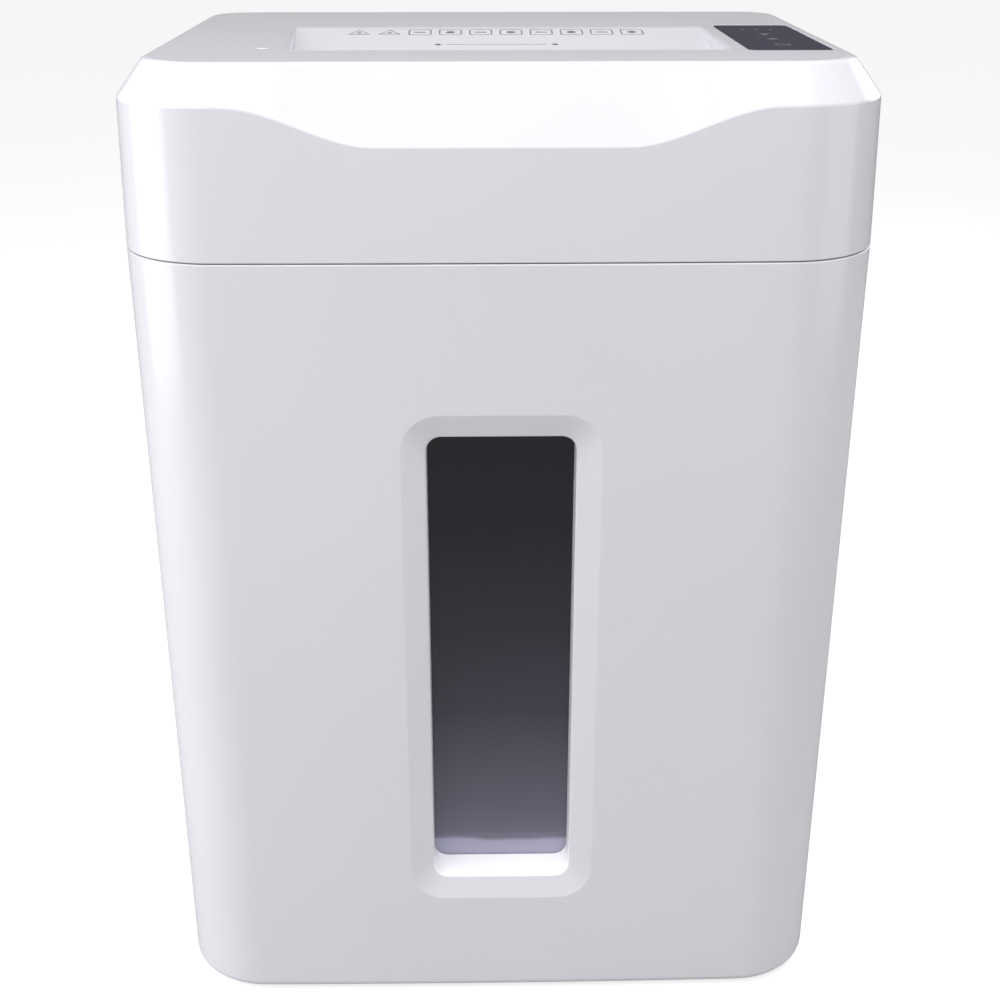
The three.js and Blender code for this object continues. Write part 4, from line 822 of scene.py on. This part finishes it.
def add_ink(mesh, outline, surface):
    """A closed film of ink in an outline, lying on surface(x, y)."""
    foot = [(x, y, surface(x, y) - INK) for x, y in outline]
    top = [(x, y, surface(x, y) + INK) for x, y in outline]
    add_rings(mesh, [foot, top])
    add_sheet(mesh, [top], lambda x, y: surface(x, y) + INK)
    add_sheet(mesh, [foot], lambda x, y: surface(x, y) - INK, down=True)


def add_frame(mesh, outer, inner, surface):
    """A closed film of ink between two outlines of equally many points."""
    heights = [(outer, -INK), (outer, INK), (inner, INK), (inner, -INK), (outer, -INK)]
    add_rings(mesh, [[(x, y, surface(x, y) + up) for x, y in loop] for loop, up in heights])


def triangle(cx, cy, size):
    return [(cx - size, cy - size * 0.8), (cx + size, cy - size * 0.8), (cx, cy + size * 0.9)]


MARK_Y = RECESS_BACK - 15.2 * MM
MARK_PITCH = 17.3 * MM
MARK_COUNT = 10
MARK_HALF = 6.5 * MM
MARK_LINE = 0.7 * MM
TRIANGLES = 2  # the rest of the row are rounded squares
GUIDE_Y = RECESS_BACK - 45 * MM
GUIDE_HALF = 32.5 * MM
GUIDE_LINE = 0.3 * MM


def printed_marks():
    mesh = bmesh.new()
    for i in range(MARK_COUNT):
        x = (i - (MARK_COUNT - 1) / 2) * MARK_PITCH
        if i < TRIANGLES:
            outer, inner = (triangle(x, MARK_Y, size) for size in (MARK_HALF, MARK_HALF * 0.8))
            add_frame(mesh, outer, inner, recess_floor)
            add_ink(mesh, arc((x, MARK_Y - 1 * MM), 1.3 * MM, 0, 360, 16)[:-1], recess_floor)
            continue
        sides = lambda half: (x - half, x + half, MARK_Y - half, MARK_Y + half)
        outer = rounded_rectangle(*sides(MARK_HALF), 1.8 * MM, 4)
        inner = rounded_rectangle(*sides(MARK_HALF - MARK_LINE), 1.2 * MM, 4)
        add_frame(mesh, outer, inner, recess_floor)
        if i % 2:
            add_ink(mesh, arc((x, MARK_Y), 2.6 * MM, 0, 360, 20)[:-1], recess_floor)
        else:
            ends, edges = (x - 3.4 * MM, x + 3.4 * MM), (MARK_Y - 0.9 * MM, MARK_Y + 0.9 * MM)
            add_ink(mesh, rounded_rectangle(*ends, *edges, 0.6 * MM, 3), recess_floor)
    return mesh


def guide_marks():
    """Two dots and a hair line that show where to feed a small sheet."""
    mesh = bmesh.new()
    for x in (-GUIDE_HALF, GUIDE_HALF):
        add_ink(mesh, arc((x, GUIDE_Y), 1.8 * MM, 0, 360, 20)[:-1], recess_floor)
    end = GUIDE_HALF - 5 * MM
    edges = (GUIDE_Y - GUIDE_LINE, GUIDE_Y + GUIDE_LINE)
    add_ink(mesh, rounded_rectangle(-end, end, *edges, 0.2 * MM, 2), recess_floor)
    return mesh


def key_marks():
    """The touch panel's marks: a ring, two arrows and three small lamps down its length."""
    mesh = bmesh.new()
    x, length = (panel_low.x + panel_high.x) / 2, panel_high.y - panel_low.y
    place = lambda share: panel_low.y + share * length
    flat = lambda x, y: PANEL_TOP
    ring = lambda radius: arc((x, place(0.2)), radius, 0, 360, 24)[:-1]
    add_frame(mesh, ring(4.2 * MM), ring(3.6 * MM), flat)
    for share, turn in ((0.42, 1), (0.6, -1)):
        y = place(share)
        arrow = [(px, y + (py - y) * turn) for px, py in triangle(x, y, 3 * MM)]
        add_ink(mesh, arrow[::turn], flat)
    for step in range(3):
        spot = (x + (step - 1) * 8 * MM, place(0.8))
        add_ink(mesh, arc(spot, 1 * MM, 0, 360, 16)[:-1], flat)
    return mesh


piece("printed_marks", printed_marks(), mark_grey, "head")
piece("guide_marks", guide_marks(), mark_grey, "head")
key_grey = moulded("key_grey", (0.16, 0.16, 0.19), (0.22, 0.22, 0.26), (0.25, 0.4), bump=0.01)
piece("key_marks", key_marks(), key_grey, "head")

# ---------------------------------------------------------------- mains inlet and power switch
# Two black nylon fittings snap into the back wall: a three-blade inlet for a separate lead, and a switch
# frame with its rocker.

plastic_black = moulded(
    "plastic_black", (0.018, 0.018, 0.020), (0.030, 0.030, 0.033), (0.42, 0.58), 0.25, 60, 1800, "Speckle"
)
BLADES = ((-7, -4), (0, -1), (7, -4))  # mm from the inlet's middle
BLADE_HALF_WIDTH = 1 * MM
BLADE_HALF_HEIGHT = 2 * MM


def add_fitting(mesh, low, high, rim, well):
    """A flanged box with an open well, facing +Y, from its flange's corners."""
    face = high.y

    def ring(grow, y, radius):
        sides = (low.x - grow, high.x + grow, low.z - grow, high.z + grow)
        return [(x, y, z) for x, z in rounded_rectangle(*sides, radius, 5)]

    body = FLANGE_RIM + FIT_GAP
    rings = [
        ring(-body - 0.5 * MM, low.y, 0.8 * MM),
        ring(-body, low.y + 0.5 * MM, 1.2 * MM),
        ring(-body, face - FLANGE, 1.2 * MM),
        ring(0, face - FLANGE, FLANGE_RADIUS),
        ring(0, face - 0.5 * MM, FLANGE_RADIUS),
        ring(-0.15 * MM, face - 0.15 * MM, 1.9 * MM),
        ring(-0.5 * MM, face, 1.6 * MM),
        ring(0.4 * MM - rim, face, 1.6 * MM),
        ring(0.1 * MM - rim, face - 0.15 * MM, 1.4 * MM),
        ring(-rim, face - 0.5 * MM, 1.2 * MM),
        ring(-rim, well, 1.2 * MM),
    ]
    made = add_rings(mesh, rings)
    mesh.faces.new(reversed(made[0]))
    mesh.faces.new(made[-1])


def power_inlet():
    mesh = bmesh.new()
    add_fitting(mesh, inlet_low, inlet_high, FLANGE_RIM + 2.5 * MM, inlet_high.y - 16 * MM)
    middle = (inlet_low + inlet_high) / 2
    for x, z in BLADES:
        cx, cz = middle.x + x * MM, middle.z + z * MM
        sides = (cx - BLADE_HALF_WIDTH, cx + BLADE_HALF_WIDTH)
        sides += (cz - BLADE_HALF_HEIGHT, cz + BLADE_HALF_HEIGHT)
        rear_block(mesh, *sides, inlet_high.y - 17 * MM, inlet_high.y - 4 * MM, 0.4 * MM)
    return mesh


def switch_frame():
    mesh = bmesh.new()
    add_fitting(mesh, frame_low, frame_high, FLANGE_RIM + 1.4 * MM, frame_high.y - 13 * MM)
    return mesh


inlet = piece("inlet_housing", power_inlet(), plastic_black, "head")
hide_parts("power_inlet")
bezel = piece("switch_bezel", switch_frame(), plastic_black, "head")
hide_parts("power_switch_frame")


def finish_node(name, material, soft=0.25 * MM):
    """Gives a part of the frame its finish, and breaks its sharp edges as tumbling or moulding does."""
    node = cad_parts[name]
    node.data.materials.clear()
    node.data.materials.append(material)
    node.modifiers.new("weld", "WELD").merge_threshold = 0.001 * MM
    if soft:
        bevel = node.modifiers.new("broken_edges", "BEVEL")
        bevel.width = soft
        bevel.segments = 2
        bevel.limit_method = "ANGLE"
        bevel.angle_limit = math.radians(40)
        bevel.use_clamp_overlap = True


finish_node("power_rocker", panel_black, 0.5 * MM)

# ---------------------------------------------------------------- pane clamp
# A black frame presses the pane against the collar. Four pan-head screws through its ears bite into the
# collar's bosses.

CLAMP_FRONT = PANE_FRONT + PANE_THICKNESS + 0.3 * MM
CLAMP_THICKNESS = 2 * MM
CLAMP_WIDTH = 7 * MM
CLAMP_EDGE = 0.4 * MM
EAR_RADIUS = 5 * MM


def metal(name, dark, light, roughness, scratch_size=240.0, bump=0.05):
    """A worked metal: its tone and roughness wander a little, under very fine scratches."""
    material = moulded(name, dark, light, roughness, bump, 90.0, scratch_size, "Speckle")
    material.node_tree.nodes["Principled BSDF"].inputs["Metallic"].default_value = 1.0
    return material


screw_steel = metal("screw_steel", (0.52, 0.53, 0.55), (0.64, 0.65, 0.67), (0.25, 0.40))


def pane_clamp():
    mesh = bmesh.new()
    outer = -WINDOW_BORDER + PANE_LAP
    inner = outer - CLAMP_WIDTH
    near, far = CLAMP_FRONT, CLAMP_FRONT + CLAMP_THICKNESS
    start = (inner + 1 * MM, near)
    corners = [start, (outer, near), (outer, far), (inner, far), (inner, near), start]
    profile = rounded(corners, [CLAMP_EDGE] * 4, 3)
    add_rings(mesh, [window_ring(grow, REVEAL_RADIUS, depth) for grow, depth in profile])
    for side in (-1, 1):
        for z in (WINDOW_LOW + BOSS_RISE, WINDOW_HIGH - BOSS_RISE):
            ear = Vector((side * BOSS_X, bin_front(0, z) + near + 0.1 * MM, z))
            add_post(mesh, ear, ear + Vector((0, CLAMP_THICKNESS - 0.2 * MM, 0)), EAR_RADIUS)
    return mesh


clamp = piece("pane_clamp", pane_clamp(), plastic_black, "bin")
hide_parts("pane_retainer")
for number in range(1, 5):
    finish_node(f"pane_screw_{number}", screw_steel, 0.15 * MM)
    finish_node(f"case_screw_{number}", screw_steel, 0.15 * MM)

# ---------------------------------------------------------------- rubber feet
# Four soft black rubber pads, 18 mm across and dished underneath so that they grip. Each is pressed into
# the underside of the bin.

rubber_black = moulded(
    "rubber_black", (0.012, 0.012, 0.012), (0.024, 0.024, 0.024), (0.65, 0.85), 0.3, 60, 1400, "Speckle"
)
# (radius, height) in mm, from the dish underneath to the top.
FOOT_PROFILE = ((4.5, 0.6), (6.2, 0.1), (8.2, 0), (8.8, 0.2), (9, 0.8), (9, 1.8), (8.7, 2.15), (8, 2.2))


def turned_round(mesh, profile, centre, sides=48):
    """A closed solid turned about an upright axis, from (radius, height) in millimetres."""
    turns = [2 * math.pi * i / sides for i in range(sides)]
    rings = []
    for radius, height in profile:
        reach = radius * MM
        circle = [(centre.x + reach * math.cos(a), centre.y + reach * math.sin(a)) for a in turns]
        rings.append([(x, y, height * MM) for x, y in circle])
    made = add_rings(mesh, rings)
    mesh.faces.new(reversed(made[0]))
    mesh.faces.new(made[-1])


for number in range(1, 5):
    low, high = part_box(f"foot_{number}")
    pad_mesh = bmesh.new()
    turned_round(pad_mesh, FOOT_PROFILE, (low + high) / 2)
    pad = piece(f"rubber_pad_{number}", pad_mesh, rubber_black, "bin")
    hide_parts(f"foot_{number}")

# ---------------------------------------------------------------- lower tray
# A grey tray closes the head from below and hangs inside the bin's rim. Guard ribs cross its opening under
# the cutters, and a small opening lets the bin's peg through.

plastic_grey = moulded(
    "plastic_grey", (0.19, 0.19, 0.21), (0.24, 0.24, 0.26), (0.40, 0.55), 0.2, 60, 1500, "Speckle"
)
tray_low, tray_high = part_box("lower_tray")
TRAY_INSET = 5 * MM
TRAY_WALL = 2.5 * MM
TRAY_FLOOR = 3 * MM
TRAY_EDGE = 6 * MM
BAYS = 4
RIB = 5 * MM
PEG_HOLE_HALF_WIDTH = 6.5 * MM
PEG_HOLE_HALF_DEPTH = 4.5 * MM
plate_low, plate_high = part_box("side_plate_left")


def tray_openings():
    """The four outlets and the peg's opening, as rounded loops."""
    left, right = SLOT_LEFT - 3 * MM, SLOT_RIGHT + 3 * MM
    width = (right - left - (BAYS - 1) * RIB) / BAYS
    for i in range(BAYS):
        x = left + i * (width + RIB)
        yield rounded_rectangle(x, x + width, plate_low.y + 6 * MM, plate_high.y - 6 * MM, 2 * MM)
    ends = (PEG_X - PEG_HOLE_HALF_WIDTH, PEG_X + PEG_HOLE_HALF_WIDTH)
    edges = (PEG_Y - PEG_HOLE_HALF_DEPTH, PEG_Y + PEG_HOLE_HALF_DEPTH)
    yield rounded_rectangle(*ends, *edges, 1 * MM)


def lower_tray():
    mesh = bmesh.new()
    bottom, inner_bottom, top = tray_low.z, tray_low.z + TRAY_FLOOR, tray_high.z
    skin, foot = TRAY_INSET, TRAY_INSET + TRAY_WALL
    corners = [(skin + 4 * MM, bottom), (skin + 2 * MM, bottom), (skin, bottom + TRAY_EDGE), (skin, top)]
    outer = rounded(corners, [2.5 * MM, 6 * MM])
    corners = [(skin, top - 1 * MM), (skin, top), (foot, top), (foot, top - 1 * MM)]
    brim = rounded(corners, [0.5 * MM, 0.5 * MM], 3)
    inner = [(foot, bottom + 9 * MM), (foot + 1 * MM, inner_bottom + 0.5 * MM)]
    inner.append((foot + 1.5 * MM, inner_bottom))
    levels = outer[:-1] + brim + [Vector(point) for point in inner]
    rings = [[(x, y, z) for x, y in case_outline(inset)] for inset, z in levels]
    add_rings(mesh, rings)
    holes = list(tray_openings())
    for hole in holes:
        add_rings(mesh, [[(x, y, z) for x, y in hole] for z in (bottom, inner_bottom)], inward=True)
    add_sheet(mesh, [rings[0], *holes], lambda x, y: bottom, down=True)
    add_sheet(mesh, [rings[-1], *holes], lambda x, y: inner_bottom)
    return mesh


tray = piece("tray_shell", lower_tray(), plastic_grey, "head")
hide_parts("lower_tray")

# ---------------------------------------------------------------- cutting frame
# Two zinc-plated steel plates, held apart by four riveted rods, carry the cutter shafts in sintered bronze
# bushes. Black nylon combs, feed guides and the paper sensor's two halves fasten between them.

plate_steel = metal("plate_steel", (0.46, 0.47, 0.49), (0.60, 0.61, 0.63), (0.30, 0.48), 160.0)
bronze = metal("bronze", (0.42, 0.27, 0.12), (0.56, 0.37, 0.19), (0.35, 0.50), 700.0)
for side in ("left", "right"):
    finish_node(f"side_plate_{side}", plate_steel)
    for row in ("front", "rear"):
        finish_node(f"bush_{row}_{side}", bronze, 0.2 * MM)
for number in range(1, 5):
    finish_node(f"tie_rod_{number}", plate_steel, 0.3 * MM)
for name in ("stripper_comb_front", "stripper_comb_rear", "feed_guide_front", "feed_guide_rear"):
    finish_node(name, plastic_black)
for name in ("paper_sensor_emitter", "paper_sensor_receiver", "gear_guard"):
    finish_node(name, plastic_black, 0.4 * MM)

# ---------------------------------------------------------------- cutters and gears
# Hardened, oiled steel shafts with cross-cut discs. Sintered gears tie them together, and a nylon double
# gear takes the drive from the motor's pinion to the large final gear.

cutter_steel = metal("cutter_steel", (0.30, 0.31, 0.33), (0.42, 0.43, 0.45), (0.24, 0.40), 420.0)
gear_steel = metal("gear_steel", (0.36, 0.37, 0.39), (0.48, 0.49, 0.51), (0.32, 0.50), 600.0)
gear_nylon = moulded("gear_nylon", (0.66, 0.61, 0.50), (0.74, 0.69, 0.58), (0.38, 0.5), 0.05)
for row in ("front", "rear"):
    finish_node(f"cutter_shaft_{row}", cutter_steel, 0.1 * MM)
    finish_node(f"timing_gear_{row}", gear_steel, 0.1 * MM)
for name in ("final_gear", "gear_axle", "motor_rotor", "motor_pinion"):
    finish_node(name, gear_steel, 0.1 * MM)
for name in ("compound_gear", "motor_fan"):
    finish_node(name, gear_nylon, 0.1 * MM)

# ---------------------------------------------------------------- motor, boards and safety switch
# A satin-painted motor can, screwed to the right plate; green fibreglass boards with a taped transformer,
# a relay and a capacitor; and the lever switch that stops the motor when the head is lifted.

motor_black = moulded("motor_black", (0.035, 0.035, 0.04), (0.055, 0.055, 0.06), (0.35, 0.48), 0.08, 120.0)
board_green = moulded("board_green", (0.02, 0.10, 0.045), (0.035, 0.15, 0.07), (0.28, 0.42), 0.15, 400.0)
winding_tape = moulded("winding_tape", (0.42, 0.26, 0.04), (0.54, 0.35, 0.07), (0.35, 0.5), 0.2, 300.0)
finish_node("motor_can", motor_black, 0.5 * MM)
finish_node("board_transformer", winding_tape, 0.8 * MM)
for name in ("main_board", "panel_board"):
    finish_node(name, board_green, 0.1 * MM)
for name in ("board_relay", "board_capacitor", "safety_switch"):
    finish_node(name, plastic_black, 0.5 * MM)
for name in ("motor_screw_1", "motor_screw_2"):
    finish_node(name, screw_steel, 0.1 * MM)
finish_node("safety_lever", screw_steel, 0)

# The world is dimmer behind the machine, because the flat top mirrors it.

floor_mesh = bmesh.new()
bmesh.ops.create_grid(floor_mesh, x_segments=1, y_segments=1, size=20)
floor_data = bpy.data.meshes.new("floor")
floor_mesh.to_mesh(floor_data)
floor_mesh.free()
floor = bpy.data.objects.new("floor", floor_data)
bpy.context.scene.collection.objects.link(floor)
floor_material, floor_tree, floor_shader = new_material("floor")
floor_shader.inputs["Base Color"].default_value = (0.4, 0.4, 0.4, 1)
floor_shader.inputs["Roughness"].default_value = 0.7
floor_shader.inputs["Emission Color"].default_value = (0.72, 0.72, 0.72, 1)
seen = floor_tree.nodes.new("ShaderNodeLightPath")
floor_tree.links.new(seen.outputs["Is Camera Ray"], floor_shader.inputs["Emission Strength"])
floor_data.materials.append(floor_material)
floor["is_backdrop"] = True

world = bpy.data.worlds.new("studio")
bpy.context.scene.world = world
world.use_nodes = True
world_tree = world.node_tree
world_tree.nodes["Background"].inputs["Color"].default_value = (0.98, 0.98, 1.0, 1)
heading = world_tree.nodes.new("ShaderNodeTexCoord")
compass = world_tree.nodes.new("ShaderNodeSeparateXYZ")
world_tree.links.new(heading.outputs["Generated"], compass.inputs["Vector"])
dimmer = world_tree.nodes.new("ShaderNodeMapRange")
dimmer.inputs["From Min"].default_value = 0.6
dimmer.inputs["From Max"].default_value = 0.95
dimmer.inputs["To Min"].default_value = 0.5
dimmer.inputs["To Max"].default_value = 0.14
world_tree.links.new(compass.outputs["Y"], dimmer.inputs["Value"])
world_tree.links.new(dimmer.outputs["Result"], world_tree.nodes["Background"].inputs["Strength"])
bpy.context.scene.view_settings.view_transform = "Standard"


def area_light(name, place, target, size, power):
    data = bpy.data.lights.new(name, "AREA")
    data.shape = "RECTANGLE"
    data.size, data.size_y = size
    data.energy = power
    lamp = bpy.data.objects.new(name, data)
    lamp.location = place
    lamp.rotation_euler = (Vector(target) - Vector(place)).to_track_quat("-Z", "Y").to_euler()
    bpy.context.scene.collection.objects.link(lamp)


area_light("key", (-0.45, -1.35, 1.5), (0, -0.1, 0.4), (2.4, 0.9), 14)
area_light("side", (-1.25, -0.27, 0.55), (-0.1, 0, 0.3), (1.0, 1.4), 15)
area_light("fill", (1.4, -0.6, 0.5), (0.1, 0, 0.3), (1.0, 1.2), 5)
area_light("overhead", (0, -0.5, 1.95), (0, -0.1, 0.5), (1.1, 0.6), 19)
area_light("back", (1.4, 1.1, 0.9), (0, 0.1, 0.3), (1.2, 0.8), 9)

camera = bpy.data.objects.new("camera", bpy.data.cameras.new("camera"))
camera.data.sensor_width = 36
camera.data.lens = 54.38
camera.location = (-0.0139, -0.875, 0.6229)
camera.rotation_euler = (math.pi / 2 - 0.3964, 0, -0.0181)
bpy.context.scene.collection.objects.link(camera)
bpy.context.scene.camera = camera

boxes = {"cad": cad_box, "visual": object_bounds()}
{name: [list(corner) for corner in box] for name, box in boxes.items()}
